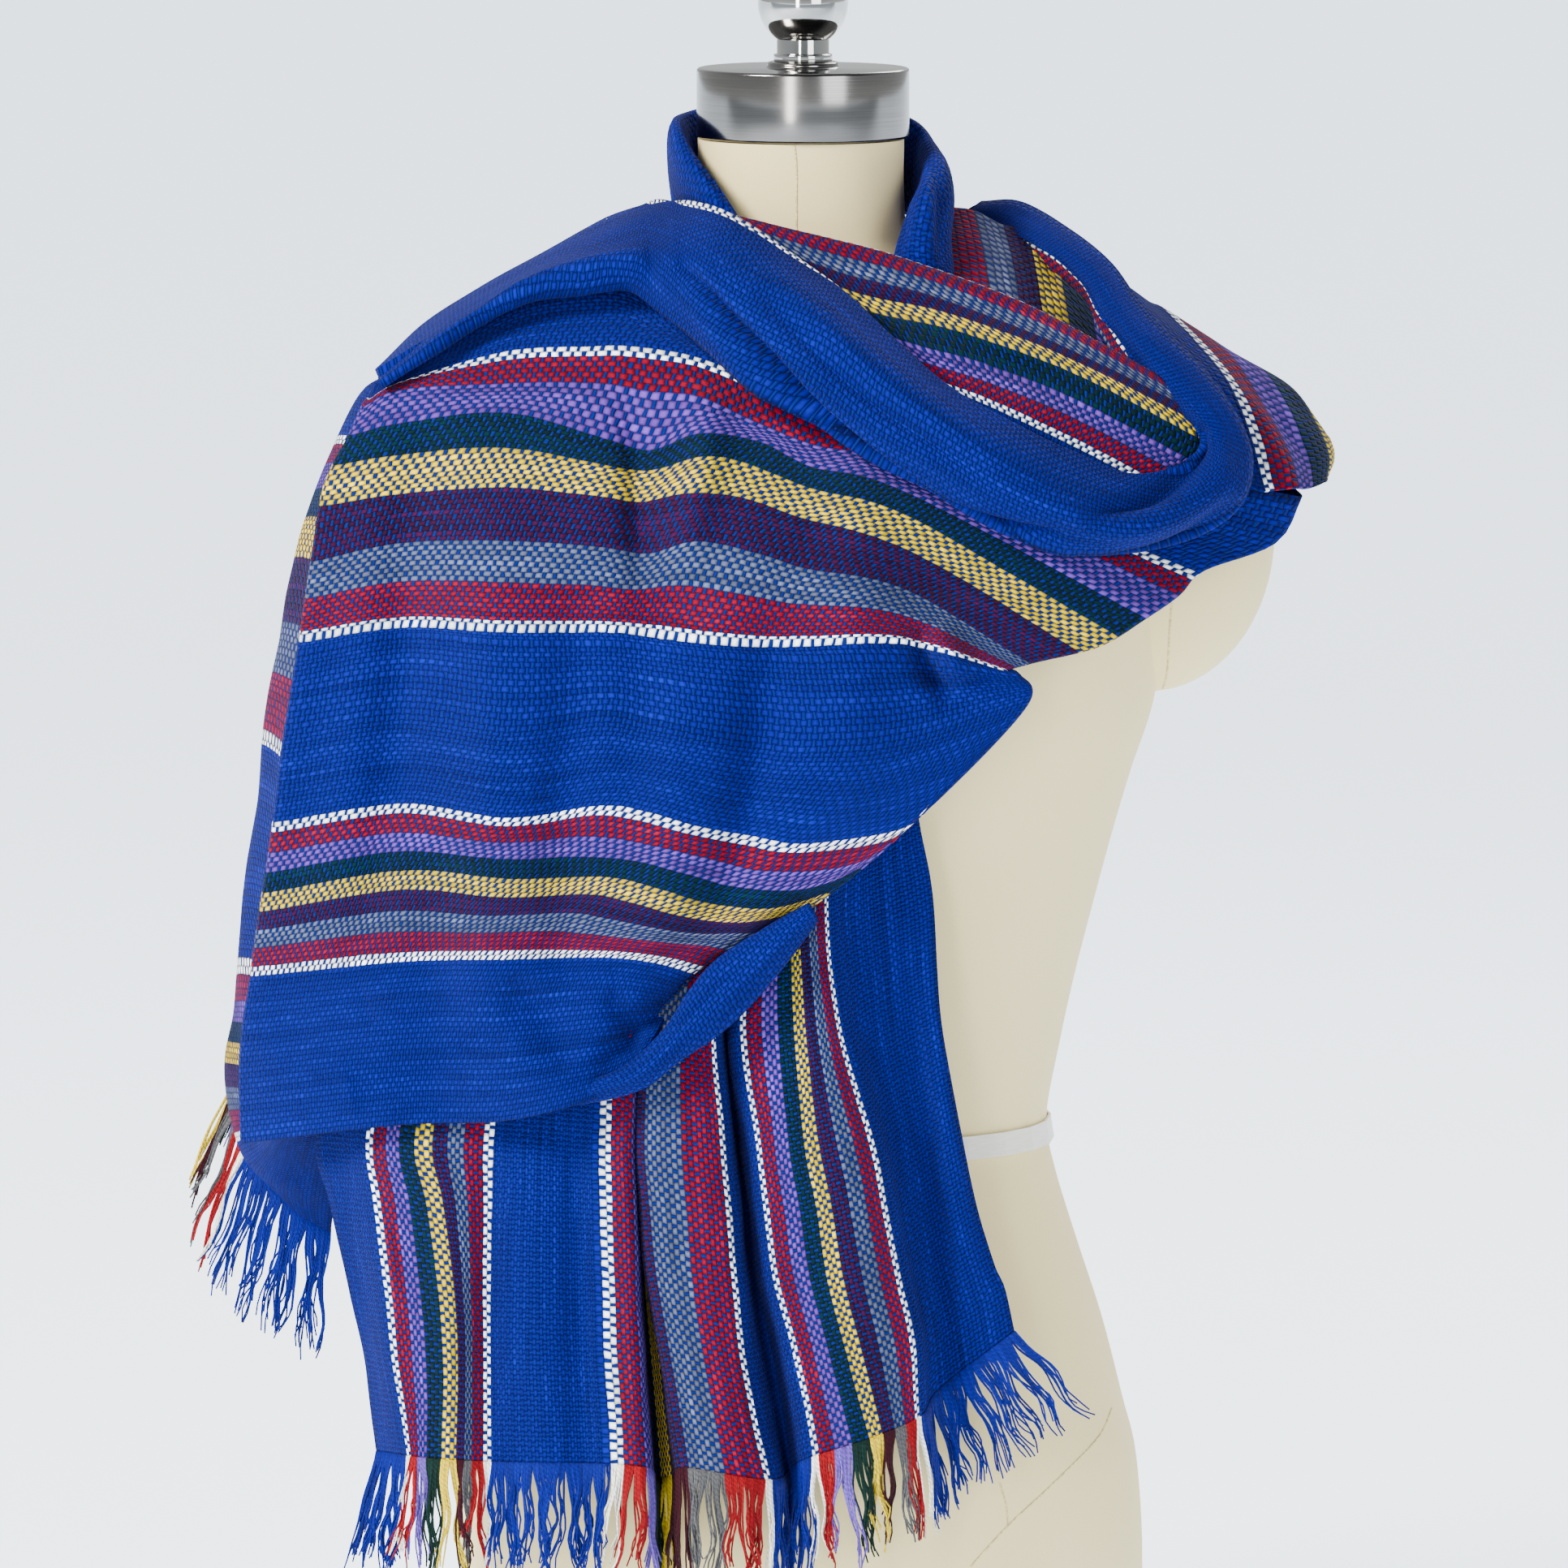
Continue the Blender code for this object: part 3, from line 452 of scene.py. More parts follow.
def normalsOf(grid):
    across = np.gradient(grid, axis=0)
    along = np.gradient(grid, axis=1)
    out = np.cross(across, along)
    return out / np.maximum(np.linalg.norm(out, axis=-1, keepdims=True), 1e-12)


# ---- pieces of cloth

cloth = {"thickness": 0.0013}
settled = {
    "hangingEnd": (-0.91, -2.24, -2.18), "turnedHem": (0.20, 6.40, 0.36), "neckHollow": (0.95, -0.17, 1.72),
    "rightShoulder": (0.33, 0.11, -1.99), "backWrap": (-0.83, -0.93, -0.80),
        "frontFringe": (-0.41, -2.28, -0.63),
    "backFringe": (-1.84, -0.93, -0.24),
}
made = {}


def newPiece(name, mesh, finish):
    piece = bpy.data.objects.new(name, mesh)
    bpy.context.collection.objects.link(piece)
    mesh.materials.append(finishes[finish])
    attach(piece, "root")
    return piece


def rowLengths(real):
    # running length where the cloth's length goes from row to row
    steps = np.linalg.norm(np.diff(real, axis=0), axis=2).mean(axis=1)
    return np.broadcast_to(np.concatenate([[0], np.cumsum(steps)])[:, None], real.shape[:2])


def clothPiece(name, nodes, grid, widths, lengths=None):
    # shell over a grid of real places; the weave map holds width and length in metres
    rows, columns = grid.shape[:2]
    grid = grid + np.array(settled.get(name, (0, 0, 0))) * mm
    if lengths is None:
        steps = np.linalg.norm(np.diff(grid, axis=1), axis=2).mean(axis=0)
        lengths = np.broadcast_to(np.concatenate([[0], np.cumsum(steps)]), (rows, columns))
    mesh = bpy.data.meshes.new(name)
    index = np.arange(rows * columns).reshape(rows, columns)
    quads = np.stack([index[:-1, :-1], index[:-1, 1:], index[1:, 1:], index[1:, :-1]], axis=-1).reshape(-1, 4)
    toOut = normalsOf(grid).reshape(-1, 3)
    mesh.from_pydata(grid.reshape(-1, 3).tolist(), [], quads.tolist())
    mesh.update()
    flips = np.einsum("ij,ij->i", np.array([p.normal[:] for p in mesh.polygons]), toOut[quads[:, 0]])
    if flips.sum() < 0:
        mesh.flip_normals()
    layer = mesh.uv_layers.new(name="weave")
    corners = np.empty(len(mesh.loops), int)
    mesh.loops.foreach_get("vertex_index", corners)
    values = np.stack([widths.reshape(-1)[corners] * mm, lengths.reshape(-1)[corners]], axis=1)
    layer.data.foreach_set("uv", values.reshape(-1))
    mesh.shade_smooth()
    piece = newPiece(name, mesh, "weave")
    shell = piece.modifiers.new("thickness", "SOLIDIFY")
    shell.thickness = cloth["thickness"]
    shell.offset = 0
    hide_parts(*nodes)
    made[name] = {"piece": piece, "grid": grid, "widths": widths}
    return piece


def declare(name):
    # the flat cut that this stretch shows, from its own threads
    grid = made[name]["grid"]
    across = np.linalg.norm(np.diff(grid, axis=0), axis=2).sum(axis=0)
    along = np.linalg.norm(np.diff(grid, axis=1), axis=2).sum(axis=1)
    sides = np.cross(np.diff(grid, axis=0)[:, :-1], np.diff(grid, axis=1)[:-1])
    area = float(np.linalg.norm(sides, axis=-1).sum())
    width = round(float(across.max()), 3)
    length = round(float(along.max()), 3)
    area = round(min(area, width * length), 4)
    print("sheet", name, width, length, area)


# -- front panel: one row for each stripe line, heights at stations across

panel = {
    "stations": (-190, -140, -95, -72, -48, -20, 5, 50),
    "lines": [
        # width in the cloth, lift, left end, heights at the stations, right end
        (192.0, 4, (-202, 697), (704, 737, 746, 738, 724, 711, 700, 678), (238, 643)),
        (211.0, 5, (-203, 694), (700, 725, 731, 727, 717, 705, 694, 672), (226, 621)),
        (230.0, 7, (-205, 690), (698, 714, 717, 716, 711, 700, 689, 667), (192, 608)),
        (248.4, 11, (-208, 686), (694, 697, 697, 693, 690, 678, 668, 656), (180, 596)),
        (264.5, 12, (-214, 672), (678, 683, 671, 665, 673, 669, 657, 645), (164, 585)),
        (289.8, 14, (-226, 648), (653, 656, 651, 648, 654, 648, 639, 626), (142, 572)),
        (319.7, 16, (-232, 614), (623, 624, 621, 618, 624, 618, 610, 600), (110, 564)),
        (361.1, 18, (-238, 577), (584, 582, 582, 580, 577, 575, 575, 575), (98, 560)),
        (371.0, 18, (-240, 565), (574, 570, 570, 568, 565, 563, 562, 562), (104, 556)),
        (402.5, 19, (-246, 528), (536, 530, 535, 531, 526, 522, 520, 524), (107, 543)),
        (443.9, 20, (-251, 489), (498, 491, 497, 494, 487, 482, 479, 486), (66, 499)),
        (480.7, 20, (-257, 450), (461, 457, 458, 453, 446, 443), (10, 450)),
        (519.8, 20, (-263, 412), (419, 420, 421, 419), (-52, 414)),
        (556.0, 20, (-268, 371), (380, 381, 386), (-66, 391)),
        (591.1, 20, (-268, 331), (340, 342, 354), (-80, 366)),
    ],
    # big soft folds: path, width, height out of the cloth
    "folds": [
        ([(-178, 560), (-172, 350)], 22, -6), ([(-70, 690), (-64, 350)], 20, -7),
        ([(-120, 640), (-118, 350)], 26, 8), ([(-30, 700), (-30, 440)], 24, 5),
    ],
    "creases": [
        ([(-84, 694), (-79, 663), (-78, 631), (-75, 600)], 7, -9),
        ([(-50, 697), (-45, 672), (-52, 639), (-58, 600)], 11, 12),
        ([(-177, 686), (-187, 631), (-190, 569), (-197, 507), (-210, 420)], 13, -10),
        ([(-105, 612), (-110, 546), (-114, 476), (-117, 361)], 14, -11),
        ([(-144, 663), (-148, 569), (-154, 492), (-157, 349)], 18, 9),
        ([(-58, 585), (-62, 515), (-69, 444), (-85, 377)], 18, 15),
        ([(-14, 585), (-22, 519), (-32, 460), (-47, 420)], 13, -11),
        ([(21, 663), (28, 608), (23, 546), (9, 476)], 20, 10),
        ([(9, 448), (-34, 420), (-54, 404), (-81, 385), (-99, 361)], 7, -10),
        ([(51, 581), (56, 567), (63, 555), (72, 543)], 5, -14), ([(63, 581), (72, 569), (79, 554)], 7, 10),
        ([(102, 608), (75, 600), (36, 608), (-3, 628)], 9, -6),
        ([(-228, 663), (-237, 585), (-253, 492), (-265, 373)], 12, 6),
        ([(-140, 413), (-126, 390), (-108, 369)], 9, -7), ([(-93, 404), (-84, 389), (-77, 375)], 6, -6),
        ([(-133, 393), (-168, 369), (-216, 357)], 11, -6), ([(-208, 400), (-150, 415), (-90, 410)], 12, 6),
    ],
    # how the edges fold back: steps inwards and back
    "lip": ((0.0, 0.0), (-0.8, 2.0), (-1.0, 4.0), (0.6, 7.0), (3.0, 9.0), (7.0, 10.3), (11.0, 11.0)),
    "armReturn": 4.6, "armShare": 0.2,
}


def foldedEdges(grid, widths):
    # turns both sides of the panel back on themselves
    rows = grid.shape[0]
    share = np.arange(rows) / (rows - 1)
    reach = 1 + (panel["armReturn"] - 1) * np.maximum(0, 1 - share / panel["armShare"])
    parts = [grid]
    for side, hint in ((0, Vector((1, 0, 0))), (-1, Vector((-1, 0, 0.3)))):
        edge = grid[:, side]
        along = np.gradient(edge, axis=0)
        way = np.cross(along, (0, 1, 0))
        way /= np.linalg.norm(way, axis=1, keepdims=True)
        way *= np.sign(way @ np.array(hint))[:, None]
        for inwards, back in panel["lip"][1:]:
            stretch = reach if side == -1 else np.ones(rows)
            column = edge + way * inwards * mm + np.stack([0 * share, back * mm * stretch, 0 * share], axis=1)
            if side == 0:
                parts.insert(0, column[:, None])
            else:
                parts.append(column[:, None])
    extra = len(panel["lip"]) - 1
    wide = np.concatenate([widths[:, :1]] * extra + [widths] + [widths[:, -1:]] * extra, axis=1)
    return np.concatenate(parts, axis=1), wide


def hang(grid, folds, creases, unevenness=0.8, seed=1.0):
    # from (x, z, lift, width) to real places on the drape
    x, z = grid[..., 0], grid[..., 1]
    flat = np.stack([x, z], axis=-1)
    smooth = [(curveThrough(np.array(path, float), 24) if len(path) > 2 else path, width, depth)
              for path, width, depth in creases]
    lift = grid[..., 2] + creaseLift(flat, smooth)
    for path, width, height in folds:
        (topX, topZ), (lowX, lowZ) = path
        part = (topZ - z) / (topZ - lowZ)
        fade = np.clip(part * 4, 0, 1) * np.clip((1.3 - part) * 4, 0, 1)
        centre = topX + (lowX - topX) * part
        lift += fade * height * np.exp(-((x - centre) / width) ** 2)
    real = seen(x, z, drapeDepth(x, z) + lift)
    return real + normalsOf(real) * (wander(real, 0.03, unevenness * mm, seed))[..., None]


def makeFrontPanel():
    lines = []
    for width, lift, left, heights, end in panel["lines"]:
        places = [left] + list(zip(panel["stations"], heights)) + [end]
        lines.append([(x, z, lift, width) for x, z in places])
    grid = loft(lines, 3.0, 150)
    real, widths = foldedEdges(hang(grid, panel["folds"], panel["creases"], 0.8, 1.0), grid[..., 3])
    clothPiece("frontPanel", ["scarf_front_panel"], real, widths)
    print("front panel", real.shape)


# -- hanging end: one row for each level, places across of each stripe line

hanging = {
    "widths": (0, 71.3, 94.3, 112.7, 147.2, 230.0, 248.4, 275.0, 300.0, 319.7, 361.1, 402.0, 443.9, 480.7,
        519.8, 545.0, 591.1),
    "lifts": (-10, 2, 5, 6, 1, 3, 9, -34, -26, 9, 6, -26, 3, 11, 7, -12, -12),
    "levels": [
        (700, -58, -50, -48, -46, -42, -34, -32, -28, -25, -22, -14, -9, -6, 4, 14, 18, 26),
        (600, -92, -82, -77, -72, -62, -46, -42, -36, -32, -28, -18, -13, -8, 8, 26, 32, 44),
        (500, -160, -146, -133, -122, -106, -72, -62, -54, -49, -44, -26, -19, -12, 0, 20, 32, 56),
        (455, -186, -172, -158, -142, -124, -84, -70, -62, -57, -52, -34, -26, -18, -3, 14, 28, 64),
        (395, -212, -196, -180, -162, -140, -95, -78, -75, -74, -70, -41, -35, -29, -1, 19, 34, 68),
        (338, -231, -209, -193, -177, -146, -99, -81, -78, -77, -75, -37, -30, -22, 4, 35, 46, 78),
        (305, -225, -206, -189, -172, -147, -99, -80, -77, -75, -73, -34, -26, -18, 10, 42, 52, 85),
        (265, -217, -201, -184, -167, -148, -98, -79, -75, -72, -69, -31, -21, -13, 16, 49, 58, 94),
        (228, -209, -197, -181, -165, -148, -97, -77, -72, -66, -62, -26, -13, -3, 24, 55, 64, 99),
        (177, -203, -189, -180, -166, -148, -94, -74, -68, -60, -54, -15, -4, 6, 36, 58, 68, 104),
    ],
    # the last pick climbs to the right; higher levels follow it part of the way
    "rises": (5, 3, 2, 1, 0, -1, -3, -8, -7, -3, -9, -4, 2, 12, 22, 36, 64),
        "riseShares": (0, 0, 0, 0, 0, 0, 0, 0.15, 0.55, 1.0),
    "creases": [
        ([(44, 440), (58, 361), (68, 270), (73, 190)], 8, -7), ([(72, 440), (82, 395), (92, 330)], 4, -7),
        ([(60, 420), (70, 341), (84, 245)], 7, 6), ([(-131, 338), (-126, 255), (-121, 160)], 17, 6),
        ([(-109, 341), (-107, 270), (-105, 160)], 7, -6), ([(-168, 338), (-168, 255), (-164, 160)], 12, 6),
        ([(-148, 338), (-149, 270), (-150, 160)], 6, -5), ([(-200, 338), (-196, 255), (-190, 160)], 9, 4),
        ([(-46, 377), (-38, 294), (-29, 160)], 11, 5), ([(5, 420), (21, 314), (33, 160)], 14, 6),
        ([(-220, 338), (-210, 255), (-201, 165)], 8, -5),
    ],
}


def makeHangingEnd():
    lines = []
    for i, (width, lift) in enumerate(zip(hanging["widths"], hanging["lifts"])):
        line = []
        for level, share in zip(hanging["levels"], hanging["riseShares"]):
            height = level[0] + hanging["rises"][i] * share
            drop = min(1.0, max(0.0, (560 - level[0]) / 240))
            line.append((level[i + 1], height, lift * drop, width))
        lines.append(line)
    grid = loft(lines, 2.6, 150)
    real = hang(grid, [], hanging["creases"], 0.8, 2.0)
    clothPiece("hangingEnd", ["scarf_hanging_end"], real, grid[..., 3])
    print("hanging end", real.shape)


# -- cowl: one row for each section round the neck opening, left shoulder to right

cowl = {
    "sections": [
        # inner x z, its depth, outer x z, lift, puff, behind, drop, width at the inner edge
        (-202, 703, 12, -200, 697, 22, 3, 44, 14, 168), (-180, 724, 8, -178, 711, 21, 4, 60, 22, 163),
        (-154, 741, 6, -154, 726, 20, 6, 68, 34, 158), (-118, 761, 4, -130, 738, 20, 9, 74, 48, 153),
        (-92, 775, 4, -105, 741, 22, 11, 62, 38, 147), (-71, 783, 16, -82, 744, 24, 12, 32, 20, 145),
        (-56, 783, 52, -68, 735, 26, 12, 14, 10, 143.6), (-35, 778, 88, -54, 724, 28, 12, 9, 8, 143.4),
        (-9, 761, 99, -36, 709, 30, 12, 8, 8, 143.6), (18, 742, 111, -3, 688, 31, 12, 8, 8, 148.5),
        (45, 717, 130, 30, 664, 31, 12, 8, 8, 151), (70, 695, 143, 62, 648, 31, 12, 8, 7, 153),
        (105, 675, 148, 94, 629, 31, 12, 7, 6, 155), (133, 662, 144, 126, 618, 31, 12, 7, 6, 156),
        (157, 653, 136, 160, 619, 31, 12, 7, 6, 156), (178, 657, 122, 191, 627, 31, 11, 7, 6, 156),
        (190, 666, 112, 209, 642, 31, 9, 7, 5, 155), (188, 676, 106, 213, 663, 28, 7, 7, 5, 152),
        (178, 686, 100, 203, 685, 24, 6, 7, 6, 149), (166, 697, 92, 190, 702, 18, 6, 8, 8, 149),
        (154, 713, 78, 172, 720, 8, 6, 10, 10, 149), (142, 730, 60, 158, 736, -8, 5, 12, 12, 149),
        (133, 746, 40, 146, 752, -24, 5, 10, 10, 149), (114, 762, 16, 127, 768, -44, 4, 8, 8, 149),
        (93, 773, -12, 103, 781, -70, 3, 8, 6, 149), (76, 776, -26, 84, 782, -84, 3, 8, 6, 149),
    ],
    "shares": (0.2, 0.4, 0.6, 0.8, 1.0), "outerWidth": 220,
    # the outer edge rolls under: further out, and back
    "tuck": ((2.5, 6), (0, 12), (-6, 15)),
    "creases": [
        ([(-59, 755), (-45, 743), (-22, 717), (5, 686), (36, 659), (67, 638), (98, 628), (125, 626)],
         3.0, -13),
        ([(-57, 743), (-34, 714), (-6, 683), (28, 651), (63, 628), (98, 615), (133, 613)], 6, 7),
        ([(-187, 717), (-150, 739), (-111, 752), (-72, 755)], 8, 5),
        ([(-173, 735), (-134, 755), (-96, 767), (-61, 769)], 7, -6),
        ([(-32, 763), (1, 732), (36, 701), (75, 674), (118, 655)], 12, 5),
        ([(-20, 742), (12, 708), (50, 677), (90, 652)], 5, -6),
        ([(133, 631), (168, 643), (188, 663), (191, 678)], 6, -8), ([(115, 640), (150, 628), (186, 634)],
         6, 4),
        ([(110, 767), (141, 725), (168, 686), (180, 663)], 5, -4), ([(149, 612), (180, 620), (211, 643)],
         5, -5),
    ],
}


def cowlSection(row):
    # from behind the inner edge, over it and down the front
    innerX, innerZ, edgeDepth, outerX, outerZ, lift, puff, behind, drop, width = row
    outerDepth = float(drapeDepth(np.array(outerX), np.array(outerZ))) + lift
    edge = seen(innerX, innerZ, edgeDepth)
    points = [edge + np.array((0, behind, -drop)) * mm, edge + np.array((0, behind * 0.45,
        -drop * 0.12)) * mm, edge]
    for share in cowl["shares"]:
        x = innerX + (outerX - innerX) * share
        z = innerZ + (outerZ - innerZ) * share
        depth = edgeDepth + (outerDepth - edgeDepth) * math.sin(math.pi * share / 2) ** 0.8
        points.append(seen(x, z, depth + puff * math.sin(math.pi * share)))
    way = np.array((outerX - innerX, 0, outerZ - innerZ), float)
    way /= max(np.linalg.norm(way), 1e-9)
    for out, back in cowl["tuck"]:
        points.append(points[7] + (way * out + np.array((0, back, 0))) * mm)
    run = np.concatenate([[0], np.cumsum(np.linalg.norm(np.diff(points, axis=0), axis=1))])
    front = np.clip((run - run[2]) / (run[7] - run[2]), 0, 1)
    widths = width + (cowl["outerWidth"] - width) * front
    if innerX < -30:
        widths[:2] = np.minimum(width + 2 + (run[2] - run[:2]) / mm * 0.62, 228)
    else:
        widths[:2] = width + (run[:2] - run[2]) / mm
    return np.column_stack([np.array(points), widths])


def shaped(real, creases, unevenness, seed):
    # seen creases where the piece faces the camera, and low unevenness all over
    normals = normalsOf(real)
    if np.median(normals[..., 1]) > 0:
        normals = -normals
    lift = wander(real, 0.03, unevenness, seed)
    facing = np.clip(-normals[..., 1] * 2.5, 0, 1)
    smooth = [(curveThrough(np.array(path, float), 24), width, depth) for path, width, depth in creases]
    lift = lift + creaseLift(toSeen(real), smooth) * facing
    return real + normals * lift[..., None] * mm


def makeCowl():
    grid = loft([cowlSection(row) for row in cowl["sections"]], 0.0025, 84)
    real = shaped(grid[..., :3], cowl["creases"], 0.7, 3.0)
    clothPiece("cowl", ["scarf_cowl"], real, grid[..., 3], rowLengths(real))
    print("cowl", real.shape)


# -- inner layer of the cowl

inner = {
    "lines": [
        # width, lift, places
        (166.0, -16, (-30, 757), (12, 746), (54, 733), (110, 711), (160, 684)),
        (155.0, -2, (-35, 770), (9, 759), (53, 747), (111, 725), (166, 696)),
        (143.0, 12, (-36, 778), (9, 767), (53, 755), (111, 733), (168, 702)),
        (127.0, 14, (-26, 768), (18, 752), (60, 741), (118, 719), (182, 688)),
        (108.1, 14, (-12, 752), (30, 734), (72, 725), (128, 705), (194, 671)),
        (94.3, 13, (6, 734), (46, 716), (86, 704), (134, 685), (188, 656)),
        (73.6, 12, (22, 716), (54, 700), (90, 686), (132, 666), (172, 645)),
        (60.0, 11, (34, 702), (62, 686), (94, 672), (130, 653), (160, 637)),
    ],
    "creases": [
        ([(-10, 756), (44, 732), (102, 705), (160, 670)], 6, -2.5), ([(5, 740), (63, 709), (122, 678),
         (168, 651)], 8, 2.5),
    ],
}


def makeInnerCowl():
    lines = [[(x, z, lift, width) for x, z in places] for width, lift, *places in inner["lines"]]
    grid = loft(lines, 2.4, 90)
    real = hang(grid, [], inner["creases"], 0.5, 4.0)
    clothPiece("innerCowl", ["scarf_inner_cowl"], real, grid[..., 3])


# -- cloth down in the hollow beside the neck

hollow = {
    "lines": [
        # width, top x z depth, low x z depth
        (154.0, 50, 778, 0, 56, 748, 48), (146.0, 61, 779, 6, 66, 746, 56), (134.0, 80, 778, 8, 88, 738, 60),
        (125.0, 94, 771, 2, 103, 730, 59), (113.0, 109, 768, -12, 117, 721, 57),
         (104.0, 121, 760, -14, 131, 711, 51),
        (96.0, 133, 748, -12, 143, 701, 44), (88.0, 142, 738, -8, 154, 694, 38),
    ],
}


def makeNeckHollow():
    lines = []
    for width, topX, topZ, topDepth, lowX, lowZ, lowDepth in hollow["lines"]:
        top = seen(topX, topZ, topDepth)
        low = seen(lowX, lowZ, lowDepth)
        middle = (top + low) / 2 + np.array((0, 0, 0.003))
        lines.append([(*p, width) for p in (top, middle, low)])
    grid = loft(lines, 0.0022, 26)
    clothPiece("neckHollow", ["scarf_neck_hollow"], shaped(grid[..., :3], [], 0.3, 5.0), grid[..., 3])


# -- neck band: stations round the neck, half its height and its bulk outwards

band = {
    "stations": [
        (-25, -56, 764, 9, 10), (-36, -46, 782, 13, 10), (-50, -19, 799, 19, 10), (-53, 10, 804, 20, 9),
        (-40, 42, 806, 20, 8), (0, 57, 807, 20, 8), (40, 42, 804, 20, 8), (54, 8, 793, 20, 11),
        (56, -20, 786, 20, 16), (50, -41, 774, 18, 21), (46, -52, 757, 16, 25), (45, -59, 740, 12, 25),
    ],
    "flareFrom": (0.0, -0.035),
    "profile": ((0.0, -1.0), (-0.05, -0.2), (0.05, 0.6), (0.45, 1.0), (0.85, 0.65), (1.0, -0.1), (0.9, -1.0)),
    "creases": [
        ([(-55, 833), (-50, 810), (-37, 789), (-24, 777)], 3.2, -3.5), ([(-44, 806), (-38, 795), (-32, 785)],
         3, 2.5),
        ([(54, 818), (53, 794), (47, 775), (44, 752)], 3.6, -3.5), ([(63, 810), (66, 783), (67, 752)],
         3.6, -3),
        ([(59, 814), (60, 787), (58, 752)], 4, 2.5),
    ],
}


def makeNeckBand():
    stations = np.array(band["stations"], float)
    stations[:, :3] *= mm
    path = curveThrough(stations, 40)
    lines = []
    for i, row in enumerate(path):
        place, half, bulk = row[:3], row[3] * mm, row[4] * mm
        tangent = Vector(path[min(i + 1, 39), :3] - path[max(i - 1, 0), :3]).normalized()
        flare = Vector((place[0] - band["flareFrom"][0], place[1] - band["flareFrom"][1], 0))
        up = tangent.cross(flare).normalized()
        if up.z < 0:
            up = -up
        out = up.cross(tangent).normalized()
        if out.dot(flare) < 0:
            out = -out
        points = [place + np.array(out) * bulk * a + np.array(up) * half * b for a, b in band["profile"]]
        run = np.concatenate([[0], np.cumsum(np.linalg.norm(np.diff(points, axis=0), axis=1))])
        lines.append(np.column_stack([points, np.minimum(156 + run / mm, 226)]))
    grid = loft(lines, 0.0028, 30)
    real = shaped(grid[..., :3], band["creases"], 0.8, 6.0)
    clothPiece("neckBand", ["scarf_neck_band"], real, grid[..., 3], rowLengths(real))


# -- right shoulder: stripe lines from the back, over the ridge, to the front

shoulder = {
    "lines": [
        (26.0, (92, 70, 716), (110, 42, 736), (128, 8, 722), (144, -36, 702), (162, -68, 684),
         (178, -84, 665)),
        (49.0, (110, 78, 716), (136, 42, 748), (150, 2, 741), (165, -44, 720), (184, -76, 692),
         (197, -88, 663)),
        (69.5, (140, 84, 700), (160, 42, 734), (176, 0, 728), (194, -40, 707), (208, -68, 681),
         (215, -84, 657)),
        (76.3, (148, 83, 695), (168, 43, 730), (183, 1, 725), (201, -36, 704), (214, -64, 678),
         (220, -80, 656)),
        (90.0, (172, 80, 678), (190, 44, 712), (204, 2, 714), (220, -26, 694), (232, -50, 670),
         (235, -66, 655)),
        (105.0, (202, 70, 656), (218, 42, 688), (232, 8, 697), (243, -10, 682), (249, -26, 667),
         (247, -42, 656)),
        (115.0, (214, 56, 630), (236, 42, 656), (249, 20, 672), (253, 8, 668), (253, 0, 662), (250, -8, 656)),
    ],
    "creases": [
        ([(188, 717), (215, 686), (232, 655), (238, 631)], 5, 2.5), ([(176, 713), (199, 686), (217, 655),
         (222, 631)], 5, -2.5),
        ([(207, 705), (234, 674), (246, 651)], 4, -2),
    ],
}


def loftPlaces(table, step, columns):
    # lines given as a width in the cloth and real places
    return loft([[(x * mm, y * mm, z * mm, width) for x, y, z in places] for width, *places in table],
        step, columns)


def makeRightShoulder():
    grid = loftPlaces(shoulder["lines"], 0.0026, 70)
    clothPiece("rightShoulder", ["scarf_right_shoulder"], shaped(grid[..., :3], shoulder["creases"],
        0.8, 7.0),
               grid[..., 3])


# -- round the left arm to the fringed back end

wrap = {
    "lines": [
        (192.0, (-172, -70, 694), (-190, -24, 702), (-195, 32, 700), (-160, 92, 706), (0, 122, 672)),
        (205.0, (-180, -78, 686), (-202, -24, 694), (-207, 32, 692), (-168, 92, 698), (-10, 122, 664)),
        (240.0, (-194, -82, 662), (-216, -26, 668), (-222, 34, 660), (-188, 98, 648), (-40, 128, 612)),
        (289.8, (-206, -86, 620), (-229, -26, 628), (-238, 28, 620), (-212, 94, 594), (-80, 129, 556)),
        (330.0, (-216, -84, 568), (-237, -26, 574), (-249, 24, 570), (-228, 86, 546), (-118, 126, 504)),
        (361.1, (-232, -81, 516), (-246, -24, 524), (-257, 22, 524), (-242, 78, 500), (-160, 117, 453)),
        (443.9, (-240, -78, 430), (-257, -20, 428), (-269, 16, 424), (-261, 58, 412), (-214, 98, 398)),
        (480.7, (-246, -72, 388), (-262, -18, 380), (-274, 12, 377), (-274, 34, 374), (-266, 56, 368)),
        (519.8, (-245, -72, 356), (-259, -22, 340), (-268, 2, 333), (-270, 14, 330), (-266, 26, 327)),
        (556.0, (-238, -58, 354), (-246, -24, 328), (-250, -8, 315), (-250, 6, 307), (-246, 16, 299)),
        (591.1, (-219, -30, 348), (-220, -20, 330), (-222, -6, 314), (-224, 6, 299), (-226, 16, 286)),
    ],
}


def makeBackWrap():
    grid = loftPlaces(wrap["lines"], 0.0032, 110)
    clothPiece("backWrap", ["scarf_back_wrap"], shaped(grid[..., :3], [], 1.0, 8.0), grid[..., 3])


# -- turned up hem of the panel

hem = {
    "sections": [(-128, 350, -126, 347), (-106, 358, -100, 350), (-84, 367, -76, 357), (-66, 384, -60, 369),
                 (-54, 402, -44, 380), (-40, 418, -28, 394), (-18, 433, -8, 417), (4, 446, 8, 438)],
    "lift": (24, 28, 31, 31, 31, 31, 31, 31), "round": 6,
    "creases": [([(-90, 364), (-52, 392), (-20, 420)], 4, -2.5)],
}


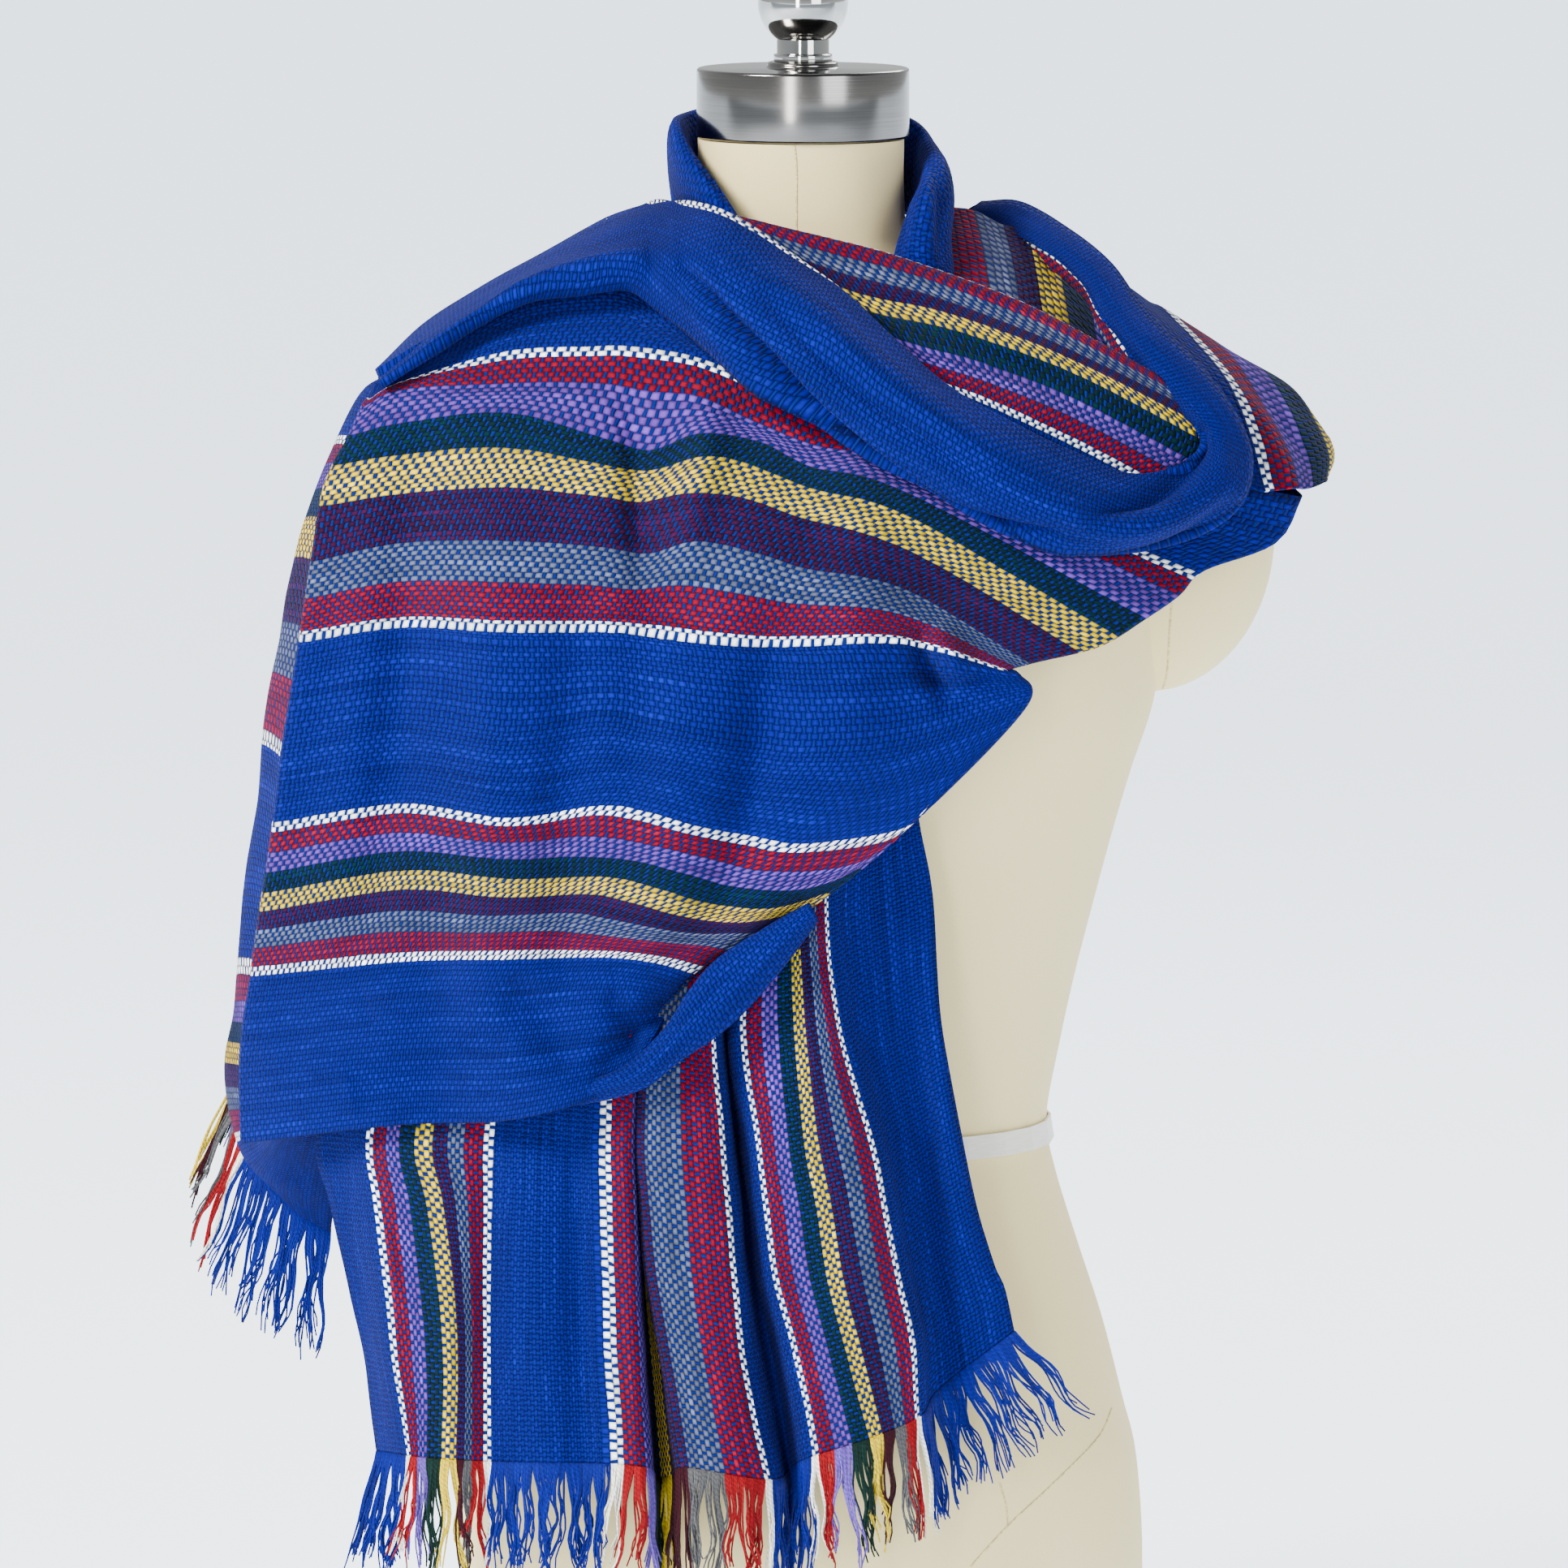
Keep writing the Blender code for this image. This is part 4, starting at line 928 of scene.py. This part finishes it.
def makeTurnedHem():
    lines = []
    for lift, (upperX, upperZ, lowerX, lowerZ) in zip(hem["lift"], hem["sections"]):
        middle = ((upperX + lowerX) / 2, (upperZ + lowerZ) / 2)
        size = min(1.0, math.hypot(upperX - lowerX, upperZ - lowerZ) / 16)
        back = 10 * size
        lines.append([(upperX + 1, upperZ - 1, lift - back, 552), (upperX, upperZ, lift, 560),
                      (*middle, lift + hem["round"] * size, 574), (lowerX, lowerZ, lift - 2, 588),
                      (lowerX - 1, lowerZ + 1, lift - 2 - back, 591)])
    grid = loft(lines, 2.4, 26)
    real = hang(grid, [], hem["creases"], 0.3, 9.0)
    clothPiece("turnedHem", ["scarf_turned_hem"], real, grid[..., 3], rowLengths(real))


# ---- fringe: the warp's own yarns past the last pick, in small locks

fringe = {
    # yarn lengths: base, share of its own and of its lock's lean
    "lengths": (0.88, 0.30, 0.16), "rootLift": 0.0012,
    # thickness at the root and its loss to the tip, map step round a yarn, how often one curls
    "taper": (1.15, 0.45), "roundStep": 0.00048, "curlEvery": 7, "curl": 0.9, "littleCurl": 0.32,
    "front": {"length": 0.055, "sway": 0.0020}, "back": {"length": 0.070, "sway": 0.0022},
    "radius": 0.00055, "sides": 5, "segments": 12, "yarnsPerColumn": 3, "lock": 9,
    # sideways fall for each share of the cloth's width
    "frontFall": ((0, 0.06, 0.2, 0.7, 0.88, 0.92, 1.0), (-0.24, -0.2, 0.0, 0.02, 0.06, 0.2, 0.85)),
    "backFall": ((0, 0.4, 0.62, 0.75, 0.88, 1.0), (0.4, 0.16, -0.2, -0.48, -0.40, -0.02)),
}


def addTube(verts, faces, centre, sides, tilt, shares, radii):
    # a thin tube along places, its width and depth given as shares of the radius at each
    first = len(verts)
    for i, p in enumerate(centre):
        way = (centre[min(i + 1, len(centre) - 1)] - centre[max(i - 1, 0)]).normalized()
        a = way.cross(Vector(tilt)).normalized()
        b = way.cross(a)
        for s in range(sides):
            angle = 2 * math.pi * s / sides
            verts.append(p + (a * math.cos(angle) * shares[0] + b * math.sin(angle) * shares[1]) * radii[i])
    for one in range(first, len(verts) - sides, sides):
        for s in range(sides):
            n = (s + 1) % sides
            faces.append((one + s, one + n, one + sides + n, one + sides + s))
    return first


def makeFringe(name, source, node, settings):
    grid, widths = made[source]["grid"], made[source]["widths"]
    edge, edgeWidths = grid[:, -1], widths[:, -1]
    count = int((edgeWidths[-1] - edgeWidths[0]) * mm / weave["column"] * fringe["yarnsPerColumn"])
    verts, faces, uvs = [], [], []
    sides, segments, size = fringe["sides"], fringe["segments"], fringe["lock"]
    toBack = 1 if name == "backFringe" else -1
    for k in range(count):
        share = (k + 0.5) / count
        width = edgeWidths[0] + (edgeWidths[-1] - edgeWidths[0]) * share
        root = Vector([np.interp(width, edgeWidths, edge[:, c]) for c in range(3)]) + Vector((0, 0,
            fringe["rootLift"]))
        ahead = Vector([np.interp(width + 4, edgeWidths, edge[:, c]) for c in range(3)])
        before = Vector([np.interp(width - 4, edgeWidths, edge[:, c]) for c in range(3)])
        along = (ahead - before).normalized()
        lock = k // size
        inLock = (k % size - (size - 1) / 2) / size
        lean, kink, own = [noise.noise(Vector(p)) for p in
                           ((lock * 0.83, 0.3, 0), (k * 0.47, 7.7, 1.3), (k * 1.31, 2.2, 5.1))]
        fallShares, fallSides = fringe[name.replace("Fringe", "Fall")]
        sideways = float(np.interp(width / 591, fallShares, fallSides))
        down = Vector((sideways + lean * 0.10, 0.08 if toBack > 0 else 0.0, -1)).normalized()
        out = down.cross(along).normalized()
        if out.y * toBack < 0:
            out = -out
        base, ownShare, leanShare = fringe["lengths"]
        length = settings["length"] * (base + ownShare * own + leanShare * lean)
        phase = lock * 1.9 + own * 1.4
        sway = settings["sway"]
        spacing = (ahead - before).length / (8 / weave["column"] * mm * fringe["yarnsPerColumn"]) * size
        centre = []
        for i in range(segments + 1):
            t = i / segments
            gather = t * t * (3 - 2 * t)
            p = root + down * length * t
            p += along * sway * (math.sin(phase + t * 8) - math.sin(phase)) * t ** 0.6
            curl = fringe["curl"] if k % fringe["curlEvery"] == 0 else fringe["littleCurl"]
            p += along * sway * curl * math.sin(own * 9 + t * (14 + 8 * kink)) * t ** 0.7
            p += along * (lean * 0.006 * t * t + kink * 0.004 * t * t)
            p += out * (0.0006 + abs(own) * 0.004 * t + 0.0014 * math.sin(phase * 1.3 + t * 7) * t)
            p -= along * inLock * spacing * 0.62 * gather * (1 - 0.45 * t)
            centre.append(p)
        thick, loss = fringe["taper"]
        radii = [fringe["radius"] * (thick - loss * (i / segments)) for i in range(segments + 1)]
        first = addTube(verts, faces, centre, sides, (0, 1, 0), (1.0, 1.0), radii)
        shift = (k * 37 % 29) * 0.00021
        w = width * mm
        for i in range(segments):
            v0, v1 = [j * length / segments + shift for j in (i, i + 1)]
            for s in range(sides):
                u0, u1 = s * fringe["roundStep"], (s + 1) * fringe["roundStep"]
                uvs += [(w, v0 + u0), (w, v0 + u1), (w, v1 + u1), (w, v1 + u0)]
        faces.append(tuple(first + s for s in range(sides)))
        faces.append(tuple(first + segments * sides + s for s in reversed(range(sides))))
        uvs += [(w, 0)] * sides + [(w, length)] * sides
    mesh = bpy.data.meshes.new(name)
    mesh.from_pydata([tuple(v) for v in verts], [], faces)
    layer = mesh.uv_layers.new(name="weave")
    layer.data.foreach_set("uv", np.array(uvs, float).reshape(-1))
    bm = bmesh.new()
    bm.from_mesh(mesh)
    bmesh.ops.recalc_face_normals(bm, faces=bm.faces)
    bm.to_mesh(mesh)
    bm.free()
    mesh.shade_smooth()
    piece = newPiece(name, mesh, "fringe")
    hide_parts(node)
    made[source]["trim"] = [piece]
    print(name, count, "yarns", len(faces), "faces")


# ---- dress form

form = {
    "levels": [
        # height, half width, front, back
        (0, 150, 100, 102), (60, 160, 107, 112), (123, 165, 110, 118), (178, 162, 108, 116),
         (208, 155, 104, 110),
        (247, 145, 99, 102), (284, 133, 93, 94), (320, 122, 87, 87), (345, 118, 85, 84), (380, 124, 88, 86),
        (413, 131, 93, 90), (445, 139, 100, 96), (483, 149, 109, 102), (514, 158, 117, 106),
         (549, 169, 124, 110),
        (600, 175, 126, 112), (636, 177, 116, 110), (668, 174, 94, 102), (690, 163, 76, 90),
         (711, 137, 61, 78),
        (730, 100, 52, 66), (747, 68, 49, 57), (766, 52, 46, 51), (790, 49, 47, 49), (814, 49, 48, 49),
    ],
    "squareness": 2.25, "arm": (0.166, 0.626, 0.060, 0.076, 0.056), "sides": 96, "rings": 110,
    "linen": "#E6D090", "linenLight": "#F1DFA8", "thread": "#B9A878",
    "seamSides": 6, "seamTilt": (0, 1, 0.1), "seamShape": (0.55, 0.35),
    # stitched seams, in photo order: neck, arm, groin, side front; seen places
    "seams": [
        [(-3, 812), (-2, 800), (-2, 785), (-2, 770)], [(177, 592), (176, 578), (175, 560), (173, 551)],
        [(82, 124), (100, 144), (122, 165), (143, 187), (150, 202)], [(96, 165), (99, 154), (100, 144)],
    ],

}


def ringPlaces(halfWidth, front, back, height, sides):
    angle = np.arange(sides) * 2 * np.pi / sides
    power = 2 / form["squareness"]
    side = np.sign(np.sin(angle)) * np.abs(np.sin(angle)) ** power
    ahead = np.sign(np.cos(angle)) * np.abs(np.cos(angle)) ** power
    depth = np.where(ahead > 0, front, back)
    return np.stack([halfWidth * side, -depth * ahead, height + 0 * side], axis=1) * mm


def makeForm():
    levels = curveThrough([(0, 0, h, w, f, b) for h, w, f, b in form["levels"]], form["rings"])
    bm = bmesh.new()
    rings = []
    for row in levels:
        places = ringPlaces(row[3], row[4], row[5], row[2], form["sides"])
        rings.append([bm.verts.new(p) for p in places])
    for low, high in zip(rings, rings[1:]):
        for i in range(form["sides"]):
            j = (i + 1) % form["sides"]
            bm.faces.new((low[i], low[j], high[j], high[i]))
    bm.faces.new(rings[0])
    bm.faces.new(rings[-1])
    bmesh.ops.recalc_face_normals(bm, faces=bm.faces)
    mesh = bpy.data.meshes.new("formBody")
    bm.to_mesh(mesh)
    bm.free()
    body = bpy.data.objects.new("formBody", mesh)
    bpy.context.collection.objects.link(body)
    centreX, centreZ, reach, halfHeight, halfDepth = form["arm"]
    for side in (-1, 1):
        bpy.ops.object.select_all(action="DESELECT")
        bpy.ops.mesh.primitive_uv_sphere_add(segments=64, ring_count=32, radius=1, location=(0, 0, 0))
        arm = bpy.context.object
        for vert in arm.data.vertices:
            vert.co = (side * centreX + vert.co.x * reach, vert.co.y * halfDepth,
                centreZ + vert.co.z * halfHeight)
        join = body.modifiers.new("arm", "BOOLEAN")
        join.operation = "UNION"
        join.object = arm
        bpy.ops.object.select_all(action="DESELECT")
        body.select_set(True)
        bpy.context.view_layer.objects.active = body
        bpy.ops.object.modifier_apply(modifier="arm")
        bpy.data.objects.remove(arm, do_unlink=True)
    body.data.materials.clear()
    body.data.materials.append(finishes["linen"])
    bpy.ops.object.shade_smooth_by_angle(angle=math.radians(35))
    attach(body, "root")
    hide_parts("form_torso")
    made["formBody"] = {"piece": body}
    print("form body", len(body.data.polygons))


coats = {
    # stretch upwards, noise scale and detail, tones, roughness spread and base, other sockets, bump
    "brushedSteel": (220.0, 22.0, 4.0, ((0.3, "#6E6B68"), (0.7, "#807D7A")), (0.06, 0.13),
                     {"Metallic": 1.0, "Anisotropic": 0.6}, (0.03, 0.0001)),
    "chrome": (1.0, 60.0, 3.0, ((0.3, "#A9A7A4"), (0.7, "#BDBBB8")), (0.05, 0.05), {"Metallic": 1.0}, None),
    "satinTape": (30.0, 120.0, 2.0, ((0.25, "#D9D2C1"), (0.75, "#F1ECDF")), (0.15, 0.38),
        {"Sheen Weight": 0.3},
                  (0.3, 0.0003)),
    "seamThread": (1.0, 700.0, 2.0, ((0.4, form["thread"]), (0.6, form["linen"])), (0.1, 0.8), {},
        (0.4, 0.0003)),
}


def coatMaterial(name):
    upwards, scale, detail, tones, (spread, base), sockets, bump = coats[name]
    n = Nodes(bpy.data.materials.new(name))
    stretch = n.add("ShaderNodeMapping")
    stretch.inputs["Scale"].default_value = (1.0, 1.0, upwards)
    n.join(n.coords("Object"), stretch.inputs["Vector"])
    lines = n.noise(stretch.outputs[0], scale, detail)
    n.finish({"Base Color": n.ramp(lines, [(place, tint(code)) for place, code in tones]),
              "Roughness": n.math("MULTIPLY_ADD", lines, spread, base), **sockets})
    if bump:
        n.bump(lines, *bump)
    return n.material


def linenMaterial(name):
    n = Nodes(bpy.data.materials.new(name))
    place = n.coords("Object")
    coarse, fine = n.noise(place, 14.0, 3.0), n.noise(place, 900.0)
    share = n.math("MULTIPLY_ADD", fine, 0.5, n.math("MULTIPLY", coarse, 0.5))
    n.finish({"Base Color": n.mix(share, tint(form["linen"]), tint(form["linenLight"])),
              "Roughness": n.math("MULTIPLY_ADD", fine, 0.1, 0.78), "Specular IOR Level": 0.3,
              "Sheen Weight": 0.08})
    n.bump(fine, 0.25, 0.0003)
    return n.material


cap = {"radius": 50.5, "centre": 1.0, "low": 814.5, "high": 847.5, "bevel": 1.4, "sides": 128,
       "collar": 17.0, "collarHigh": 3.0}


def pick(bm, keep):
    # selects faces by a test on their middle and normal
    for face in bm.faces:
        face.select_set(False)
    for face in bm.faces:
        if keep(face.calc_center_median(), face.normal):
            face.select_set(True)


def editMesh(piece, keep):
    bpy.ops.object.select_all(action="DESELECT")
    piece.select_set(True)
    bpy.context.view_layer.objects.active = piece
    bpy.ops.object.mode_set(mode="EDIT")
    bpy.ops.mesh.select_mode(type="FACE")
    bm = bmesh.from_edit_mesh(piece.data)
    pick(bm, keep)
    bmesh.update_edit_mesh(piece.data)


def finishHard(piece, name, width, finish, node):
    bpy.ops.object.mode_set(mode="OBJECT")
    piece.name = name
    edges = piece.modifiers.new("edges", "BEVEL")
    edges.width = width * mm
    edges.segments = 3
    edges.limit_method = "ANGLE"
    edges.angle_limit = math.radians(40)
    bpy.ops.object.modifier_apply(modifier="edges")
    bpy.ops.object.shade_smooth_by_angle(angle=math.radians(50))
    piece.data.materials.clear()
    piece.data.materials.append(finish)
    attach(piece, "root")
    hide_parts(node)
    made[name] = {"piece": piece}


def addCylinder(radius, low, high, centre, sides):
    bpy.ops.object.select_all(action="DESELECT")
    bpy.ops.mesh.primitive_cylinder_add(vertices=sides, radius=radius * mm, depth=(high - low) * mm,
                                        location=(centre * mm, 0, (high + low) / 2 * mm))
    bpy.ops.object.transform_apply(location=True, rotation=False, scale=False)
    return bpy.context.object


def raiseMiddle(piece, inwards, up):
    # draws the top face in and lifts its middle
    editMesh(piece, lambda centre, normal: normal.z > 0.9)
    bpy.ops.mesh.inset(thickness=inwards * mm, depth=0)
    bpy.ops.mesh.extrude_region_move(TRANSFORM_OT_translate={"value": (0, 0, up * mm)})


def makeNeckCap():
    piece = addCylinder(cap["radius"], cap["low"], cap["high"], cap["centre"], cap["sides"])
    raiseMiddle(piece, cap["radius"] - cap["collar"], cap["collarHigh"])
    finishHard(piece, "neckCap", cap["bevel"], finishes["steel"], "form_neck_cap")


finial = {"stem": 12.5, "stemLow": 850.5, "stemHigh": 862.0, "collar": 14.0, "collarHigh": 854.0,
    "ball": 21.5,
          "ballHeight": 878.5, "centre": 1.0, "sides": 96, "bevel": 0.5}


def makeFinial():
    piece = addCylinder(finial["collar"], finial["stemLow"], finial["collarHigh"], finial["centre"],
        finial["sides"])
    raiseMiddle(piece, finial["collar"] - finial["stem"], finial["stemHigh"] - finial["collarHigh"])
    bpy.ops.object.mode_set(mode="OBJECT")
    bpy.ops.object.select_all(action="DESELECT")
    bpy.ops.mesh.primitive_uv_sphere_add(segments=finial["sides"], ring_count=48, radius=finial["ball"] * mm,
                                         location=(finial["centre"] * mm, 0, finial["ballHeight"] * mm))
    bpy.ops.object.transform_apply(location=True, rotation=False, scale=False)
    bpy.ops.object.shade_smooth()
    piece.select_set(True)
    bpy.context.view_layer.objects.active = piece
    bpy.ops.object.join()
    finishHard(piece, "finialBall", finial["bevel"], finishes["chrome"], "form_finial")


def makeSeams():
    # stitched seams, thin cords half sunk in the linen, found by looking from the camera
    body = made["formBody"]["piece"]
    depsgraph = bpy.context.evaluated_depsgraph_get()
    tree = BVHTree.FromObject(body, depsgraph)
    eye = Vector((camera["side"], -camera["back"], camera["height"]))
    verts, faces = [], []
    for path in form["seams"]:
        places = []
        for x, z in curveThrough([(x, z, 0) for x, z in path], 60)[:, :2]:
            way = (Vector((x * mm, 0, z * mm)) - eye).normalized()
            hit = tree.ray_cast(eye, way)
            if hit[0] is not None:
                places.append(hit[0])
        addTube(verts, faces, places, form["seamSides"], form["seamTilt"], form["seamShape"],
            [mm] * len(places))
    mesh = bpy.data.meshes.new("seams")
    mesh.from_pydata([tuple(v) for v in verts], [], faces)
    mesh.update()
    mesh.shade_smooth()
    piece = newPiece("seams", mesh, "thread")
    print("seams", len(faces))


def refit(node, finish):
    # the CAD node stays and takes a finer finish
    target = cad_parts[node]
    target = target if isinstance(target, bpy.types.Object) else bpy.data.objects[target]
    for slot in target.material_slots:
        slot.material = finish


# ---- build

setCamera()
setSky()
setLamps()
setFloor()
print("camera, floor and light")
finishes = {
    "weave": weaveMaterial("stripedWeave"), "fringe": fringeMaterial("fringeYarn"),
        "linen": linenMaterial("linen"),
    "steel": coatMaterial("brushedSteel"), "chrome": coatMaterial("chrome"),
        "satin": coatMaterial("satinTape"),
    "thread": coatMaterial("seamThread"),
}
print("materials", bpy.context.scene.view_settings.view_transform)
makeForm()
makeHangingEnd()
makeFrontPanel()
makeTurnedHem()
makeCowl()
makeInnerCowl()
makeNeckHollow()
makeNeckBand()
makeRightShoulder()
makeBackWrap()
makeFringe("frontFringe", "hangingEnd", "fringe_front", fringe["front"])
makeFringe("backFringe", "backWrap", "fringe_back", fringe["back"])
makeNeckCap()
makeFinial()
makeSeams()
refit("form_waist_tape", finishes["satin"])
print("pieces made")
for name, rests in (("hangingEnd", ["formBody"]), ("frontPanel", ["hangingEnd"]),
    ("turnedHem", ["frontPanel"]),
                    ("cowl", ["formBody", "frontPanel"]), ("innerCowl", ["cowl"]), ("neckHollow", ["cowl"]),
                    ("neckBand", ["formBody"]), ("rightShoulder", ["formBody"]), ("backWrap", ["formBody"])):
    declare(name)
